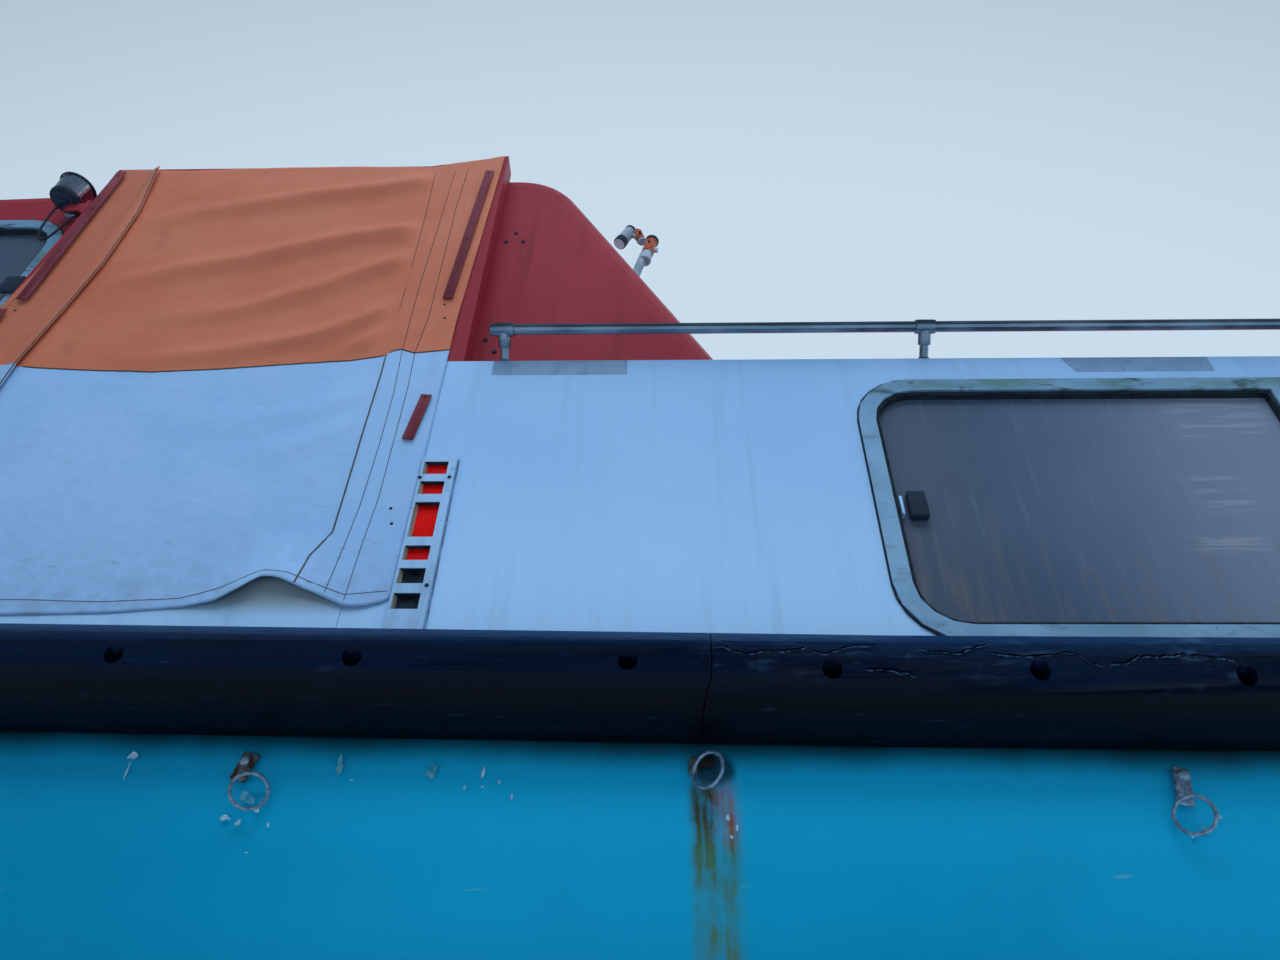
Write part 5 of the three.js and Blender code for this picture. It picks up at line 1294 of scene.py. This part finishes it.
bpy.ops.mesh.primitive_uv_sphere_add(segments=32, ring_count=16, radius=0.046, location=(0.465, -0.25, 1.558))
bpy.context.object.scale = (1, 1, 0.85)
settle(lamp_glass)
gathered("console_fittings")

# Steering wheel. A stainless wheel of six spokes. Its rim has a wrapped black grip, and a domed cap closes
# the hub.
dress(stainless, "steering_wheel")
HUB = Vector((0.15, -0.25, 1.24))
# how many times the grip's wrapping goes round the rim
LAPS = 72
wrap = finish("black_rim_wrap", IOR=1.5)
spot = wire("ShaderNodeTexCoord").outputs["Object"]
around = wire("ShaderNodeSeparateXYZ", {0: wire("ShaderNodeVectorMath", {0: spot, 1: (0, HUB.y, HUB.z)},
    operation="SUBTRACT").outputs[0]})
angle = maths("ARCTAN2", around.outputs[2], around.outputs[1])
laps = maths("SINE", product(angle, LAPS), 0)
coat(blended(pattern(70, detail=4), "#0f1317", "#262b31"), between(laps, -1, 1, 0.5, 0.68), laps, 0.0008)
bpy.ops.mesh.primitive_torus_add(major_radius=0.19, minor_radius=0.0165, major_segments=96,
    minor_segments=20, location=HUB, rotation=(0, radians(90), 0))
settle(wrap, "steering_wheel_grip", "steering_wheel", 60)
stacked(HUB, Vector((-1, 0, 0)), (0.019, 0.028, 0.036, stainless, 0.003, 32),
    (0.027, 0.04, 0.022, latch_black, 0.006, 32, 0.018))
gathered("steering_wheel_hub_cap", "steering_wheel")

# Helm seat. A foam cushion and a back in black vinyl, sewn in 62 mm channels, on a shell of grained plastic
# and a steel pedestal bolted to the floor.
vinyl = finish("sewn_black_vinyl", IOR=1.5, Sheen_Weight=0.05)
spot = place()
CHANNEL = pi / 0.0615
sewn = wire("ShaderNodeMath", {0: maths("COSINE", product(maths("ADD", spot[1], 0.25), CHANNEL), 0)},
    operation="ABSOLUTE").outputs[0]
pillows = between(sewn, 0.0, 0.3)
creased = maths("ADD", pillows, product(pattern(55, detail=6), 0.18))
coat(blended(pattern(12, detail=5), "#171b20", "#2a3037"), between(pillows, 0, 1, 0.62, 0.42), creased, 0.004)


def stuffed(low, high, swell, name):
    """A pad: a cube cut fine, its edges drawn round, its broad faces crowned and its corners pulled in."""
    low, high = Vector(low), Vector(high)
    bpy.ops.mesh.primitive_cube_add(size=2)
    pad = bpy.context.object
    bpy.ops.object.mode_set(mode="EDIT")
    bpy.ops.mesh.select_all(action="SELECT")
    bpy.ops.mesh.subdivide(number_cuts=15)
    bpy.ops.object.mode_set(mode="OBJECT")
    half = (high - low) / 2
    thin = min(range(3), key=lambda axis: half[axis])
    for v in pad.data.vertices:
        point = v.co.copy()
        size = sum(abs(part) ** 9 for part in point) ** (1 / 9)
        crown = swell
        for axis in range(3):
            if axis != thin:
                crown *= 1 - point[axis] ** 2
        point /= size
        v.co = Vector([point[axis] * half[axis] for axis in range(3)]) + (low + high) / 2
        v.co[thin] += crown * (1 if point[thin] > 0 else -1) * abs(point[thin])
    modified("SUBSURF", levels=1, render_levels=1)
    made = settle(vinyl, name, smooth=60)
    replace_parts(made, "helm_seat")


PEDESTAL = Vector((-0.42, -0.25, 0))
stuffed((-0.63, -0.47, 1.118), (-0.205, -0.03, 1.192), 0.01, "helm_seat_cushion")
stuffed((-0.63, -0.47, 1.215), (-0.572, -0.03, 1.645), 0.01, "helm_seat_back")
eased_block(-0.625, -0.21, -0.465, -0.035, 1.098, 1.12, 0.008, grained)
eased_block(-0.64, -0.627, -0.44, -0.06, 1.11, 1.6, 0.006, grained)
stacked(PEDESTAL, UP, (0.6505, 0.662, 0.055, stainless, 0.003, 40),
    (0.66, 0.86, 0.038, stainless, 0.003, 32), (0.855, 1.085, 0.03, stainless, 0.002, 32),
    (1.08, 1.1, 0.052, grained, 0.004, 36))
turned((-0.452, -0.25, 0.83), (-0.48, -0.25, 0.83), 0.008, stainless, 0.001, 16)
for turn in (0.8, 2.4, 3.9, 5.5):
    at = PEDESTAL + Vector((0.045 * cos(turn), 0.045 * sin(turn), 0.6605))
    stacked(at, UP, (0, 0.006, 0.006, nail_steel, 0.001, 6))
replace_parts(gathered("helm_seat_pedestal"), "helm_seat")

# Engine box. A closed box of grey-painted sheet round the diesel: two lids on top with lift rings, held
# down by toggle latches.
engine_paint = finish("grey_engine_box_paint", IOR=1.5)
oily = between(pattern(3.5, detail=6), 0.42, 0.7)
mottled(oily, "#7a8388", "#565d60", 0.36, 0.6, pattern(30, detail=3), 0.0008)
dress(engine_paint, "engine")
for x in (-2.14, -1.46):
    eased_block(x - 0.32, x + 0.32, -0.38, 0.38, 0.4495, 0.456, 0.003, engine_paint)
    bpy.ops.mesh.primitive_torus_add(major_radius=0.022, minor_radius=0.0035, major_segments=28,
        minor_segments=10, location=(x, 0, 0.461), rotation=(0.12, 0, 0))
    settle(zinc)
    for way in (-1, 1):
        eased_block(x - 0.015, x + 0.015, way * 0.4065 - 0.0062, way * 0.4065 + 0.0062, 0.37, 0.44, 0.002,
            stainless)
gathered("engine_box_fittings")

# Propeller and rudder. Cast manganese bronze, polished by the water on the blades' faces and tarnished brown
# elsewhere, with zinc anodes: a cone on the shaft's nut and a disc on each side of the rudder.
bronze = finish("cast_manganese_bronze", Metallic=1.0)
tarnish = between(pattern(13, detail=6), 0.38, 0.66)
mottled(tarnish, "#b98e4a", "#6f5a38", 0.28, 0.52, pattern(140, detail=4), 0.0003)
dress(bronze, "propeller", "rudder")
SHAFT_Z = -0.5
turned((-5.469, 0, SHAFT_Z), (-5.494, 0, SHAFT_Z), 0.028, bronze, 0.003, 6)
turned((-5.492, 0, SHAFT_Z), (-5.532, 0, SHAFT_Z), 0.026, zinc, 0.004, 28, end_radius=0.012)
gathered("shaft_nut_and_anode", "propeller")
for way in (-1, 1):
    stacked(Vector((-5.85, 0, SHAFT_Z)), Vector((0, way, 0)), (0.033, 0.048, 0.05, zinc, 0.006, 36, 0.044),
        (0.047, 0.052, 0.01, stainless, 0.001, 6))
    for z in (-0.74, -0.232):
        eased_block(-6.025, -5.735, way * 0.018 - 0.013, way * 0.018 + 0.013, z - 0.012, z + 0.012, 0.004,
            bronze)
gathered("rudder_fittings", "rudder")

size = {"cad": [list(corner) for corner in cad_box], "scene": [list(corner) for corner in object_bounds()]}
